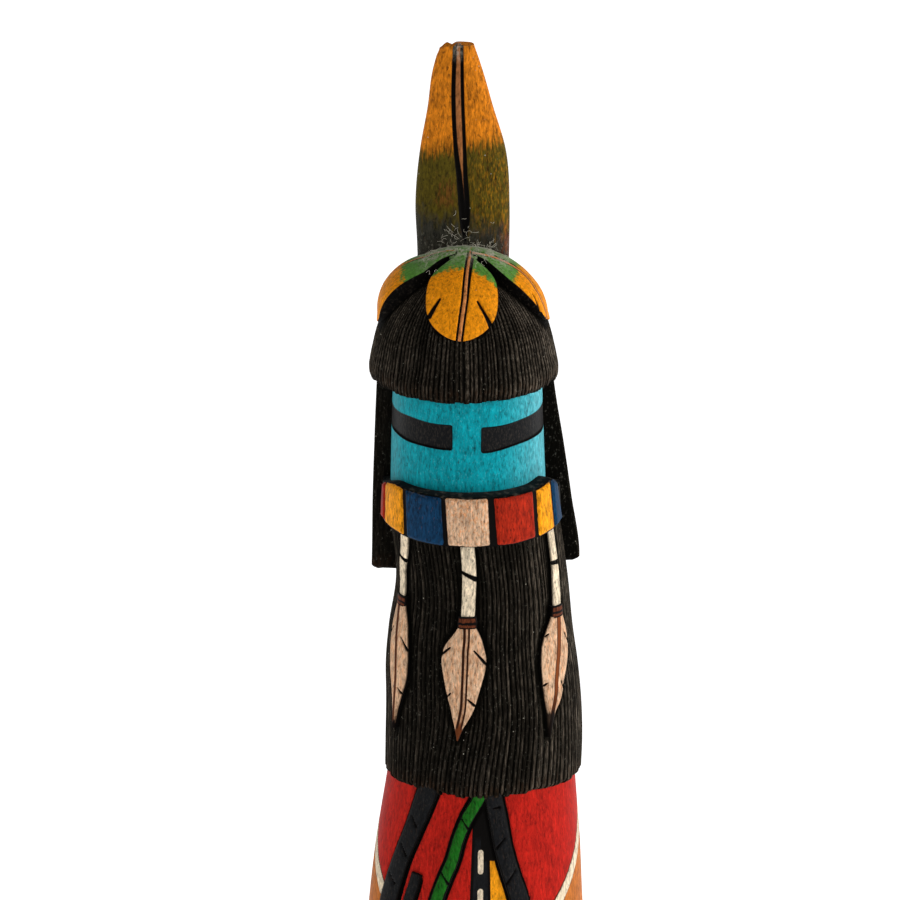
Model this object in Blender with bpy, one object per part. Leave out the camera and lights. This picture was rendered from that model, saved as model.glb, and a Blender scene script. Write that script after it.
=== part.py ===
"""A carved and painted root-wood kachina figure that stands on a low turned base.

The figure is one piece of wood. It is modelled as simple carved masses, each a skin over a stack of
closed sections, which Boolean unions join into one body. Lengths are millimetres until a mesh is made,
heights are measured from the underside of the base, +Z is up and the figure faces -Y.
"""

import bpy
import numpy as np

MM = 0.001

# The base, a turned disc, and the gap under the figure's foot.
BASE_HEIGHT = 14.0
BASE_RADIUS = 44.0
BASE_EDGE = 2.4
BASE_CHAMFER = 0.8  # round the underside
FOOT_GAP = 0.3
FOOT = BASE_HEIGHT + FOOT_GAP

# Sections of the masses: height, half width, half depth and the sideways place of the centre, which
# follows the slightly crooked root.
ROBE = (
    (FOOT, 27.0, 25.5, 0.0),
    (60.0, 25.3, 22.8, -0.5),
    (100.0, 22.9, 20.0, -0.2),
    (122.0, 21.55, 18.6, 0.0),
    (134.0, 20.6, 17.8, 0.5),
    (147.5, 18.95, 16.4, 0.9),
    (155.0, 18.1, 15.8, 1.2),
    (165.0, 17.6, 15.6, 1.5),
    (191.0, 16.4, 15.0, 1.2),
    (212.0, 14.6, 14.6, -0.9),
)
BEARD = (
    (148.0, 19.75, 17.1, 1.4),
    (156.0, 19.85, 17.2, 1.6),
    (165.4, 19.6, 17.1, 1.6),
    (173.5, 19.2, 16.9, 1.5),
    (180.5, 18.4, 16.6, 1.4),
    (191.0, 17.4, 16.2, 1.2),
    (206.0, 17.0, 16.5, -0.4),
)
COLLAR = (
    (204.0, 18.8, 19.6, -0.8),
    (215.0, 18.3, 19.2, -0.8),
)
MASK = (
    (211.0, 15.6, 15.5, -1.45),
    (236.0, 15.0, 15.4, -1.6),
)
BACK_HAIR = (
    (191.0, 20.8, 20.2, 0.0),
    (195.0, 20.85, 20.3, 0.1),
    (207.5, 19.9, 19.9, -0.66),
    (219.0, 18.9, 19.1, -1.3),
    (230.0, 17.8, 18.1, -2.1),
    (237.0, 17.2, 17.3, -2.4),
)
BODY_POWER = 2.15  # 2 is an ellipse, and more is squarer
# Each mass starts its rings at a turn of its own, in degrees, so that no two share a line.
ROBE_PHASE, MASK_PHASE, CAP_PHASE, KNOB_PHASE = 0.61, 2.11, 1.37, 3.3
HEM_TOP = 24.0
HEM_PROUD = 0.9
HEM_STEP = 0.6
ROBE_RINGS = (36.0, 212.0)  # the lowest and highest plain sections

# The beard hangs in front, and the back hair behind, each as far round as its edge angle.
BEARD_EDGE = 104.0
BEARD_RADIUS = 17.6
BEARD_TIPS = 149.4
BEARD_TIPS_DROP = 1.6
BEARD_TOP = 208.0
BACK_HAIR_EDGE = 95.0
BACK_HAIR_RADIUS = 19.0
BACK_HAIR_TIPS = 192.8
BACK_HAIR_SLOPE = 0.9
BACK_HAIR_TOP = 237.0
HIDDEN_RADIUS = 11.0
HAIR_LIP_INSET = 0.93  # of the section at the tips, where the underside turns in
HAIR_LIP_DROP = 0.9
HAIR_UNDER_INSET = 0.6
HAIR_UNDER_RISE = 0.5
FLUTE_PITCH = 2.8
FLUTE_DEPTH = 0.75
FLUTE_FADE = 12.0  # over this height below its hidden top, a mass's flutes grow to their full depth

# The collar's bands, as angles from the front where one colour ends and the next begins.
COLLAR_JOINTS = (-92, -67, -45, -18, 12.5, 43, 64, 88)
COLLAR_GROOVE = 0.55
COLLAR_GROOVE_WIDTH = 2.4
COLLAR_SPAN = (205.0, 214.4)
COLLAR_TUCK = 0.9
COLLAR_BEHIND = 4.0  # how far the ring sinks where the back hair covers it
COLLAR_COVERED = np.linspace(108, 248, 6)
# The ring's section: how far out, whether from the lower edge or the upper one, and how far above it.
COLLAR_SECTION = ((-3.5, 0, 0.3), (-0.6, 0, 0.0), (0.0, 0, 0.6), (0.0, 1, -0.5), (-0.5, 1, 0.0), (-5.0, 1, 0.2))

# The cap of hair is a skin round a point in the head: angle from straight up, and distance.
CAP_CENTRE = (-2.45, 0.0, 242.0)
CAP_DEPTH = 1.03
CAP = (
    (0.0, 15.6),
    (30.0, 15.8),
    (55.0, 16.2),
    (75.0, 17.1),
    (88.0, 17.6),
    (97.0, 18.25),
    (103.0, 19.0),
    (108.0, 19.75),
    (112.5, 20.3),
)
CAP_RINGS = (112.5, 108.0, 103.0, 97.0, 88.0, 75.0, 60.0, 40.0, 16.0)
CAP_LIP = ((18.4, -9.0), (16.3, -9.8), (13.0, -8.6))  # radius and height of the underlip's rings
CAP_FRONT_RISE = 1.7  # how much higher the lip is over the mask
CAP_RISE_FROM = 92.0
CAP_FLUTES = 36
CAP_FLUTES_FULL = 75.0

# Four broad feathers lie over the crown: angle from straight up, and half width.
PETAL = (
    (5.0, 1.5),
    (12.0, 2.7),
    (20.0, 4.1),
    (28.0, 6.0),
    (37.0, 7.1),
    (48.0, 7.3),
    (60.0, 6.6),
    (68.0, 5.1),
    (73.0, 3.0),
    (75.0, 0.6),
)
PETAL_RADIUS = 18.2
PETAL_TIP_FROM = 55.0
PETAL_TIP_SINK = 0.6
PETAL_THICKNESS = 4.2
PETAL_TURNS = (-3.0, 88.3, 179.1, -88.7)
CROWN_KNOB = 11.0  # the knob at the top that the feathers spring from reaches this angle
CROWN_KNOB_PROUD = 0.15

# The tall feather stands behind the crown: height, half width, half thickness and centre.
TALL_FEATHER = (
    (248.0, 8.9, 3.6, -2.4),
    (259.0, 9.25, 3.5, -2.45),
    (267.0, 9.42, 3.3, -2.63),
    (278.5, 8.6, 2.9, -2.65),
    (288.0, 6.7, 2.5, -3.05),
    (295.0, 5.3, 2.1, -3.5),
    (299.2, 4.05, 1.7, -3.75),
    (301.0, 3.6, 1.5, -3.8),
)
TALL_FEATHER_BACK = 8.5
QUILL_SHARE = 0.24  # of the half width, on each side of the middle
QUILL_DEPTH = 0.5

# The mask's two eye bands, from near its middle round to the sides.
EYE_HEIGHT = 226.2
EYE_HALF = 2.6
EYE_SINK = 0.6
EYE_CUTTER_LIFT = 2.0
EYE_LEFT = (-92.0, -13.2)
EYE_RIGHT = (10.2, 92.0)

# Three feathers hang on the beard from painted straps: the angle and height of the strap's top, of
# the tie and of the tip, and the leaf's half width. LEAF is the share of that width along the leaf.
HUNG_FEATHERS = (
    ((-5.0, 205.0), (-10.5, 187.3), (-16.0, 162.8), 4.5),
    ((-51.5, 205.5), (-62.6, 188.6), (-65.6, 163.4), 3.6),
    ((56.2, 205.5), (55.2, 187.8), (45.5, 163.6), 3.6),
)
LEAF = ((0.0, 0.4), (0.1, 0.68), (0.3, 1.0), (0.5, 0.84), (0.72, 0.54), (0.88, 0.26), (1.0, 0.08))
STRAP_HALF = 1.4
STRAP_LIFT = 0.6
LEAF_LIFT = 0.9
LEAF_SINK = 1.6

# Raised bands like split feathers on the robe: points of angle, height and half width.
ROBE_BANDS = (
    ((-32, 152, 2.5), (-42.3, 143.6, 2.6), (-51, 134, 2.7), (-58, 124, 2.8), (-67, 110, 2.6), (-72, 101, 0.6)),
    ((-37.4, 132.4, 1.1), (-41, 127.5, 1.2), (-47, 117, 1.5), (-53, 106, 1.4), (-56, 100, 0.5)),
    ((0.5, 152, 1.2), (-7, 145.5, 1.2), (-15, 140, 1.25), (-25.5, 128.3, 1.4), (-37, 113, 1.7), (-45, 101, 0.5)),
    ((10, 152, 1.9), (12.8, 141, 2.6), (19.8, 133.4, 3), (29, 123, 3), (40, 109, 2.6), (47, 99, 0.6)),
)
BAND_LIFT = 0.8
BAND_SINK = 1.5

PAINTS = {
    "robe_red": ((0.62, 0.03, 0.02), 0.75),
    "hair_black": ((0.025, 0.018, 0.014), 0.8),
    "mask_turquoise": ((0.01, 0.36, 0.44), 0.7),
    "feather_orange": ((0.72, 0.25, 0.02), 0.7),
    "feather_pale": ((0.78, 0.47, 0.28), 0.75),
    "collar_cream": ((0.72, 0.5, 0.33), 0.75),
    "base_wood": ((0.16, 0.07, 0.03), 0.5),
}


def clear_scene():
    for item in list(bpy.data.objects):
        bpy.data.objects.remove(item, do_unlink=True)


def paint(name):
    """A matt painted finish, made once for each name."""
    if name in bpy.data.materials:
        return bpy.data.materials[name]
    colour, roughness = PAINTS[name]
    material = bpy.data.materials.new(name)
    material.use_nodes = True
    shader = material.node_tree.nodes["Principled BSDF"]
    shader.inputs["Base Color"].default_value = (*colour, 1.0)
    shader.inputs["Roughness"].default_value = roughness
    shader.inputs["Metallic"].default_value = 0.0
    return material


def smooth(table, at):
    """The table's values on a smooth curve through its rows, the first column being the place."""
    table = np.asarray(table, float)
    places, values = table[:, 0], table[:, 1:]
    slopes = np.gradient(values, places, axis=0)
    at = np.clip(np.asarray(at, float), places[0], places[-1])
    i = np.clip(np.searchsorted(places, at) - 1, 0, len(places) - 2)
    span = (places[i + 1] - places[i])[..., None]
    t = (at - places[i])[..., None] / span
    start = (2 * t**3 - 3 * t**2 + 1) * values[i] + (t**3 - 2 * t**2 + t) * span * slopes[i]
    end = (3 * t**2 - 2 * t**3) * values[i + 1] + (t**3 - t**2) * span * slopes[i + 1]
    return start + end


def body_point(table, angle, height, offset):
    """A point on a mass's section at this angle from the front, in degrees, pushed out by offset."""
    half_width, half_depth, centre = np.moveaxis(smooth(table, height), -1, 0)
    side, front = np.sin(np.radians(angle)), np.cos(np.radians(angle))
    reach = np.abs(side / half_width) ** BODY_POWER + np.abs(front / half_depth) ** BODY_POWER
    radius = reach ** (-1 / BODY_POWER) + offset
    return np.stack([centre + radius * side, -radius * front, height + 0.0 * radius], axis=-1)


def crown_point(turn):
    """The surface that a crown feather lies on, as a function of its angle across and along."""

    def point(across, along, offset):
        tip = np.clip((along - PETAL_TIP_FROM) / (PETAL[-1][0] - PETAL_TIP_FROM), 0.0, 1.0)
        radius = PETAL_RADIUS + offset - PETAL_TIP_SINK * tip**2
        beta, gamma = -np.radians(across), np.radians(along)
        forward, up = np.cos(beta) * np.sin(gamma), np.cos(beta) * np.cos(gamma)
        cos_turn, sin_turn = np.cos(np.radians(turn)), np.sin(np.radians(turn))
        x = forward * sin_turn + np.sin(beta) * cos_turn
        y = -forward * cos_turn + np.sin(beta) * sin_turn
        return np.stack([x, y * CAP_DEPTH, up], axis=-1) * radius[..., None] + CAP_CENTRE

    return point


def add_object(name, points, faces, finish):
    mesh = bpy.data.meshes.new(name)
    mesh.from_pydata((np.asarray(points) * MM).tolist(), [], faces)
    mesh.materials.append(paint(finish))
    mesh.shade_smooth()
    mesh.set_sharp_from_angle(angle=np.radians(35.0))
    item = bpy.data.objects.new(name, mesh)
    bpy.context.scene.collection.objects.link(item)
    return item


def skin(name, rows, finish):
    """A closed body over rings of equal count, bottom ring first, each ring anticlockwise from above."""
    rows = np.asarray(rows, float)
    count, around = rows.shape[:2]
    points = np.concatenate([rows.reshape(-1, 3), [rows[0].mean(axis=0)], [rows[-1].mean(axis=0)]])
    ring = np.arange(around)
    following = np.roll(ring, -1)
    low = (np.arange(count - 1) * around)[:, None]
    high = low + around
    here, there = low + ring, low + following
    above, beyond = high + ring, high + following
    first, last = np.full(around, count * around), np.full(around, count * around + 1)
    top = (count - 1) * around
    faces = np.concatenate(
        [
            np.stack([here, there, beyond], axis=-1).reshape(-1, 3),
            np.stack([here, beyond, above], axis=-1).reshape(-1, 3),
            np.stack([first, following, ring], axis=-1),
            np.stack([last, top + ring, top + following], axis=-1),
        ]
    )
    return add_object(name, points, faces.tolist(), finish)


def relief(name, surface, path, lift, sink, finish, along=10, across=4):
    """A raised strip on a surface: path rows hold angle, place along and half width in millimetres."""
    path = np.asarray(path, float)
    stations = np.column_stack([np.linspace(0, 1, len(path)), path])
    t = np.linspace(0, 1, along)[:, None]
    v = np.linspace(-1, 1, across + 1)[None, :]
    angle, place, half = np.moveaxis(smooth(stations, t), -1, 0)
    still = np.zeros_like(angle)

    def rate(d_angle, d_place):
        ahead = surface(angle + d_angle, place + d_place, still)
        behind = surface(angle - d_angle, place - d_place, still)
        return np.linalg.norm(ahead - behind, axis=-1) / 2

    angle_rate, place_rate = rate(1.0, 0.0), rate(0.0, 1.0)
    run_angle = np.gradient(angle[:, 0])[:, None] * angle_rate
    run_place = np.gradient(place[:, 0])[:, None] * place_rate
    run = np.hypot(run_angle, run_place)
    wide_angle = angle - v * half * run_place / run / angle_rate
    wide_place = place + v * half * run_angle / run / place_rate
    crown = lift * (1 - 0.3 * v**2) + 0.0 * wide_angle
    outer = surface(wide_angle, wide_place, crown)
    inner = surface(wide_angle, wide_place, -sink + 0.0 * wide_angle)
    loops = np.concatenate([inner, outer[:, ::-1]], axis=1)
    return skin(name, loops, finish)


def columns(pitch, edge, rear):
    """Angles for a fluted mass, two for each flute out to the edge on both sides, and plain ones behind.

    Returns the angles and the share of a flute's depth at each: 0 on a ridge, about 1 in a groove and
    no number on the hidden columns behind.
    """
    flutes = int(round(2 * edge / pitch))
    angles = np.linspace(-edge, edge, 2 * flutes + 1)
    groove = np.arange(len(angles)) % 2 * (0.8 + 0.2 * np.sin(np.radians(angles * 5)))
    plain = np.linspace(edge, 360 - edge, rear + 2)
    plain[0] += 1.5
    plain[-1] -= 1.5
    return np.concatenate([angles, plain]), np.concatenate([groove, np.full(len(plain), np.nan)])


def hair_mass(name, table, angles, groove, turn, low, high, rows):
    """A fluted mass of hair over part of the way round, which narrows to hidden wood on the rest."""
    shown = ~np.isnan(groove)
    depth = np.where(shown, groove, 0.0) * FLUTE_DEPTH
    rings = []
    for share in np.linspace(0, 1, rows):
        height = low + share * (high - low)
        fade = np.clip((high - height) / FLUTE_FADE, 0.0, 1.0)
        ring = body_point(table, angles + turn, height, -depth * fade)
        hidden = body_point(table, angles + turn, height, np.zeros_like(depth))
        centre = smooth(table, height)[..., 2]
        pull = HIDDEN_RADIUS / np.hypot(hidden[:, 0] - centre, hidden[:, 1])
        hidden[:, 0] = centre + (hidden[:, 0] - centre) * pull
        hidden[:, 1] *= pull
        rings.append(np.where(shown[:, None], ring, hidden))
    lip = rings[0].copy()
    middle = lip.mean(axis=0)
    lip[:, :2] = middle[:2] + (lip[:, :2] - middle[:2]) * HAIR_LIP_INSET
    lip[:, 2] -= HAIR_LIP_DROP
    under = lip.copy()
    under[:, :2] = middle[:2] + (lip[:, :2] - middle[:2]) * HAIR_UNDER_INSET
    under[:, 2] += HAIR_UNDER_RISE
    return skin(name, [under, lip, *rings], "hair_black")


def beard():
    angles, groove = columns(np.degrees(FLUTE_PITCH / BEARD_RADIUS), BEARD_EDGE, 5)
    side = np.abs(np.sin(np.radians(np.clip(angles, -90, 90)))) ** 3
    low = BEARD_TIPS + HAIR_LIP_DROP - BEARD_TIPS_DROP * side
    return hair_mass("beard_mass", BEARD, angles, groove, 0.0, low, BEARD_TOP, 8)


def back_hair():
    edge = 180 - BACK_HAIR_EDGE
    angles, groove = columns(np.degrees(FLUTE_PITCH / BACK_HAIR_RADIUS), edge, 5)
    low = BACK_HAIR_TIPS + BACK_HAIR_SLOPE * np.sin(np.radians(angles + 180))
    return hair_mass("back_hair_mass", BACK_HAIR, angles, groove, 180.0, low, BACK_HAIR_TOP, 7)


def robe():
    """The body from the foot up to the neck, with a raised hem."""
    angles = np.linspace(0, 360, 44, endpoint=False) + ROBE_PHASE
    hem = [(FOOT, HEM_PROUD), (HEM_TOP, HEM_PROUD), (HEM_TOP + HEM_STEP, 0.0)]
    plain = [(height, 0.0) for height in np.linspace(*ROBE_RINGS, 12)]
    rows = [body_point(ROBE, angles, height, np.full_like(angles, proud)) for height, proud in hem + plain]
    return skin("figure", rows, "robe_red")


def collar():
    """A ring of coloured bands parted by shallow grooves, tucked in a little at the sides."""
    joints = np.asarray(COLLAR_JOINTS, float)
    half = COLLAR_GROOVE_WIDTH / 2
    parts = [joints - half, joints, joints + half, (joints[:-1] + joints[1:]) / 2]
    angles = np.sort(np.concatenate([*parts, COLLAR_COVERED]))
    in_groove = np.isin(angles, joints) * COLLAR_GROOVE + (angles > joints[-1] + 12) * COLLAR_BEHIND
    tuck = COLLAR_TUCK * (1 - np.cos(np.radians(angles))) / 2
    edges = (COLLAR_SPAN[0] + tuck, COLLAR_SPAN[1] - tuck)
    rows = [
        body_point(COLLAR, angles, edges[upper] + above, out - in_groove)
        for out, upper, above in COLLAR_SECTION
    ]
    return skin("collar_mass", rows, "collar_cream")


def mask():
    angles = np.linspace(0, 360, 48, endpoint=False) + MASK_PHASE
    still = np.zeros_like(angles)
    heights = np.linspace(MASK[0][0], MASK[-1][0], 3)
    rows = [body_point(MASK, angles, height, still) for height in heights]
    return skin("mask_mass", rows, "mask_turquoise")


def cap():
    """The bell of hair over the head, fluted from the crown down to its lip above the mask."""
    angles = np.radians(np.arange(2 * CAP_FLUTES) * 180.0 / CAP_FLUTES + CAP_PHASE)
    groove = np.arange(2 * CAP_FLUTES) % 2 * (0.8 + 0.2 * np.sin(5 * angles)) * FLUTE_DEPTH
    front = np.clip(np.cos(angles) * 2.5 + 0.2, 0.0, 1.0) * CAP_FRONT_RISE
    rows = []
    for radius, height in CAP_LIP[::-1]:
        rows.append(cap_ring(angles, radius, height + front))
    for gamma in CAP_RINGS:
        distance = smooth(CAP, gamma)[0]
        polar = np.radians(gamma)
        share = np.clip((gamma - CAP_RISE_FROM) / 20.0, 0.0, 1.0)
        fade = np.clip(gamma / CAP_FLUTES_FULL, 0.0, 1.0)
        radius = distance * np.sin(polar) - fade * groove
        rows.append(cap_ring(angles, radius, distance * np.cos(polar) + share * front))
    return skin("cap_mass", rows, "hair_black")


def cap_ring(angles, radius, height):
    x = CAP_CENTRE[0] + radius * np.sin(angles)
    y = CAP_CENTRE[1] - radius * np.cos(angles) * CAP_DEPTH
    return np.stack([x, y, CAP_CENTRE[2] + height + 0.0 * radius], axis=-1)


def crown_knob():
    angles = np.radians(np.linspace(0, 360, 20, endpoint=False) + KNOB_PHASE)
    still = np.zeros_like(angles)
    radius = PETAL_RADIUS + CROWN_KNOB_PROUD
    rows = [cap_ring(angles, still + CROWN_KNOB / 4, PETAL_RADIUS - PETAL_THICKNESS)]
    for gamma in np.radians((CROWN_KNOB, CROWN_KNOB / 2)):
        rows.append(cap_ring(angles, still + radius * np.sin(gamma), radius * np.cos(gamma)))
    return skin("crown_knob", rows, "feather_orange")


def crown_feathers():
    items = []
    for number, turn in enumerate(PETAL_TURNS):
        path = [(0.0, along, half) for along, half in PETAL]
        name = f"crown_feather_{number + 1}"
        items.append(relief(name, crown_point(turn), path, 0.0, PETAL_THICKNESS, "feather_orange", 11, 4))
    return items


def tall_feather():
    """A flat-backed leaf of wood that stands behind the crown, with a grooved quill down its front."""
    turns = np.linspace(0, 2 * np.pi, 28, endpoint=False)
    across = np.sign(np.cos(turns)) * np.abs(np.cos(turns)) ** 0.8
    through = np.sign(np.sin(turns)) * np.abs(np.sin(turns)) ** 0.8
    quill = np.where((np.abs(across) < QUILL_SHARE) & (through < 0), QUILL_DEPTH, 0.0)
    rows = []
    for height in np.linspace(TALL_FEATHER[0][0], TALL_FEATHER[-1][0], 12):
        half_width, half_thick, centre = smooth(TALL_FEATHER, height)
        x = half_width * across
        y = half_thick * through + quill
        rows.append(np.stack([centre + x, TALL_FEATHER_BACK + y, height + 0.0 * x], axis=-1))
    return skin("tall_feather_mass", rows, "feather_orange")


def hung_feathers():
    """Three straps, each with a leaf-shaped feather below its tie, in low relief on the beard."""

    def on_beard(angle, height, offset):
        return body_point(BEARD, angle, height, offset)

    items = []
    for number, (top, tie, tip, half) in enumerate(HUNG_FEATHERS):
        shares = np.linspace(0, 1, 11)
        widths = smooth(LEAF, shares)[:, 0] * half
        leaf = np.column_stack([np.outer(1 - shares, tie) + np.outer(shares, tip), widths])
        strap = [(*top, STRAP_HALF), (*tie, STRAP_HALF)]
        parts = (("leaf", leaf, LEAF_LIFT, 11, 4), ("strap", strap, STRAP_LIFT, 4, 2))
        for part, path, lift, along, across in parts:
            name = f"{part}_{number + 1}"
            items.append(relief(name, on_beard, path, lift, LEAF_SINK, "feather_pale", along, across))
    return items


def robe_bands():
    def on_robe(angle, height, offset):
        return body_point(ROBE, angle, height, offset)

    return [
        relief(f"band_{number + 1}", on_robe, path, BAND_LIFT, BAND_SINK, "hair_black", 11, 2)
        for number, path in enumerate(ROBE_BANDS)
    ]


def eye_cutters():
    def on_mask(angle, height, offset):
        return body_point(MASK, angle, height, offset)

    cutters = []
    for number, (start, end) in enumerate((EYE_LEFT, EYE_RIGHT)):
        name = f"eye_cutter_{number + 1}"
        path = [(start, EYE_HEIGHT, EYE_HALF), (end, EYE_HEIGHT, EYE_HALF)]
        cutters.append(relief(name, on_mask, path, EYE_CUTTER_LIFT, EYE_SINK, "hair_black", 14, 1))
    return cutters


def carve(body, name, items, operation):
    """One Boolean step with all these shapes, which are guides and aren't parts of their own."""
    group = bpy.data.collections.new(name)
    bpy.context.scene.collection.children.link(group)
    for item in items:
        item.hide_render = True
        item.display_type = "WIRE"
        bpy.context.scene.collection.objects.unlink(item)
        group.objects.link(item)
    step = body.modifiers.new(name, "BOOLEAN")
    step.operand_type = "COLLECTION"
    step.collection = group
    step.operation = operation
    step.solver = "EXACT"
    step.material_mode = "TRANSFER"


def figure():
    body = robe()
    masses = [back_hair(), beard(), collar(), mask(), cap(), tall_feather(), crown_knob()]
    carve(body, "masses", masses + crown_feathers() + hung_feathers() + robe_bands(), "UNION")
    carve(body, "eyes", eye_cutters(), "DIFFERENCE")
    return body


def base():
    """The turned disc that the figure stands on, with a rounded upper edge."""
    angles = np.linspace(0, 2 * np.pi, 56, endpoint=False)
    turned = [(BASE_RADIUS - BASE_CHAMFER, 0.0), (BASE_RADIUS, BASE_CHAMFER)]
    for turn in np.radians((0.0, 30.0, 60.0, 90.0)):
        inset = BASE_EDGE * (1 - np.cos(turn))
        turned.append((BASE_RADIUS - inset, BASE_HEIGHT - BASE_EDGE * (1 - np.sin(turn))))
    rows = [
        np.stack([r * np.sin(angles), -r * np.cos(angles), np.full_like(angles, z)], axis=-1)
        for r, z in turned
    ]
    return skin("base", rows, "base_wood")


def main():
    clear_scene()
    figure()
    base()


main()
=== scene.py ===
"""Looks of a carved and painted root-wood kachina figure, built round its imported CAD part.

Every piece is a closed skin over a grid of points that numpy works out from the carving's sections.
Lengths in the functions are millimetres above the base's underside, angles are degrees from the
front, and a mesh is metres. The figure faces -Y and +Z is up.
"""

import bpy
import numpy as np
from bpy.props import FloatProperty, FloatVectorProperty, IntProperty, PointerProperty
from mathutils import Euler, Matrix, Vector


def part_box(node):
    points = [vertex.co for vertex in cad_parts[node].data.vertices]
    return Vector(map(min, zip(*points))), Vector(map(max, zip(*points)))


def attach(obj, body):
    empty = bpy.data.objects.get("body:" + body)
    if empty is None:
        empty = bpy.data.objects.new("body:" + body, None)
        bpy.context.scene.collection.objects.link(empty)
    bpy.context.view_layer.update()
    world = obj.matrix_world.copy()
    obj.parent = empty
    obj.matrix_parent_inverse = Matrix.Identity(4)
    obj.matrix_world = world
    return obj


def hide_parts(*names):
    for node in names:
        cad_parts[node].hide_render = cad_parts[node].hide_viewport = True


bl_info = {
    "name": "Kachina figure",
    "version": (1, 0, 0),
    "blender": (4, 5, 0),
    "location": "View3D > Sidebar > Kachina",
    "description": "Builds the painted surfaces of a carved kachina figure round its packed solids",
    "category": "Object",
}

MM = 0.001
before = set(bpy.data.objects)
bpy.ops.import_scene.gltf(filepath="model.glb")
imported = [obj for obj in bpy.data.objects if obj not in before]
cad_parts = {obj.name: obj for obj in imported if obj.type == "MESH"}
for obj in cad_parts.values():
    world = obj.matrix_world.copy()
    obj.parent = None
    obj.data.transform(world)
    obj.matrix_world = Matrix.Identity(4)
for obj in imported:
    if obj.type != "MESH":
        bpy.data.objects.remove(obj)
FIGURE_LOW, FIGURE_HIGH = (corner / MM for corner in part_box("figure"))
BASE_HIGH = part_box("base")[1] / MM
FOOT = FIGURE_LOW.z
TOP = FIGURE_HIGH.z

# Sections of the carved masses: height, half width, half depth and the sideways place of the centre.
ROBE = (
    (FOOT, 27.0, 25.5, 0.0),
    (60.0, 25.3, 22.8, -0.5), (100.0, 22.9, 20.0, -0.2), (122.0, 21.55, 18.6, 0.0),
    (134.0, 20.6, 17.8, 0.5), (147.5, 19.05, 16.4, 1.05), (155.0, 18.2, 15.8, 1.35),
    (165.0, 17.6, 15.6, 1.5), (191.0, 16.4, 15.0, 1.2), (212.0, 14.6, 14.6, -0.9),
)
BEARD = (
    (148.0, 19.75, 17.1, 1.4), (156.0, 19.85, 17.2, 1.6), (165.4, 19.6, 17.1, 1.55),
    (173.5, 19.25, 16.9, 1.2), (180.5, 18.45, 16.6, 1.0), (191.0, 17.15, 16.2, 1.2),
    (206.0, 17.0, 16.5, -0.4),
)
COLLAR = ((204.0, 18.55, 19.6, -0.95), (215.0, 18.0, 19.2, -0.95))
MASK = ((211.0, 15.45, 15.5, -1.6), (236.0, 14.85, 15.4, -1.75))
BACK_HAIR = (
    (191.0, 20.95, 20.2, -0.15), (195.0, 21.0, 20.3, -0.05), (207.5, 20.1, 19.9, -0.86),
    (219.0, 19.1, 19.1, -1.5), (230.0, 18.1, 18.1, -2.1), (237.0, 17.6, 17.3, -2.3),
)
BODY_POWER = 2.15  # 2 is an ellipse, and more is squarer
FAR = 9.0  # millimetres, past the reach of every mark

# The robe: its hem, and the painted collar line that falls to a point in front.
HEM_TOP = 24.0
HEM_PROUD = 0.81
HEM_STEP = 0.6
ROBE_TOP = 200.0
SHAWL_POINT = 106.2  # height of the shawl's point at the front
SHAWL_RISE = 0.392  # a degree round the body
SHAWL_LEAN = 1.7  # how much higher the right side is
SHAWL_SLOPE = 0.674  # from a height difference to the distance across the sloping edge
STRIPE = (0.6, 2.9)  # the cream stripe, outside the shawl's edge
SASH_TURN = 1.9
SASH_SWAY = 0.1  # degrees a millimetre, from this height up
SASH_STRAIGHT = 128.8
SASH_HALF = 1.37  # at this height, and how much wider it gets a millimetre down
SASH_HALF_AT = 144.0
SASH_SPREAD = 0.028
SASH_HALF_RANGE = (0.9, 2.7)
SASH_TOP = 150.0
SASH_END = 62.0
DASH_PITCH = 8.1
DASH_PLACE = 136.4  # height of the top dash's middle
DASH_HALF = (0.55, 2.55)
ROBE_GROOVES = (0.3, 0.12)  # depths of the grooves beside a band and beside the stripe
YELLOW_APEX = 136.6  # above these heights black fills the wedges beside the sash
RED_APEX = 144.3

# The beard hangs in front, and the back hair behind, each as far round as its edge angle.
BEARD_EDGE = 104.0
BEARD_TIPS = 151.3
BEARD_TIPS_DROP = 0.7
BEARD_TOP = 208.0
BEARD_RADIUS = 17.6
BACK_HAIR_EDGE = 95.0
BACK_HAIR_TIPS = 193.7
BACK_HAIR_SLOPE = 0.9
BACK_HAIR_TOP = 237.0
BACK_HAIR_RADIUS = 19.0
HIDDEN_RADIUS = 11.0  # of the side of a mass of hair that lies in the wood
BEARD_TIPS_TURN = 25.0  # how far round the tips hang lower
BEARD_SLANT = -8.0  # how far the tips swing to one side in front
BEARD_SLANT_PLACE = (-8.0, 42.0)  # the middle and the width of that part
BEARD_SLANT_HEIGHTS = (170.0, 150.0)
BEARD_MARGIN = (0.3, 1.7)  # distances from a hung feather between which its smooth margin ends
# How light the ridges of each mass of hair are round it, as a start and smooth steps over angles:
# worn stain, and painted light that makes them brighter on the right, which faces the key lamp,
# and towards the far sides.
BEARD_WEAR_AND_LIGHT = (-0.15, ((0.0, 60.0, 1.0), (0.0, -50.0, -0.2), (-55.0, -80.0, 0.9)))
BACK_HAIR_WEAR_AND_LIGHT = (-2.0, ((110.0, 130.0, 1.0), (250.0, 230.0, 1.0)))
CAP_WEAR_AND_LIGHT = (0.2, ((10.0, 60.0, 1.05), (-20.0, -70.0, 0.95)))
# The locks: how much their widths differ, their shallowest groove as a share of the deepest, how
# ragged the tips are in millimetres, how far locks stray in degrees, and the lip under the tips, as
# shares of the way out from the middle and drops.
LOCK_VARIETY = 0.28
LOCK_SHALLOWEST = 0.65
LOCK_RAGGED = 0.35
CAP_RAGGED = 0.4
LOCK_STRAY = 0.5
CAP_STRAY = 1.2
HAIR_LIP = ((0.6, -0.4), (0.9, 0.9), (0.955, 0.8), (0.985, 0.4))
HAIR_WALL = 1.5  # degrees from the last lock to the hidden inside
HAIR_INSIDE_COLUMNS = 7
SMOOTH_GROOVE = 0.3  # the groove's share where the hair is smooth
TONE_WEAR = 0.7  # how much a lock's own tone adds to its wear

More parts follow.
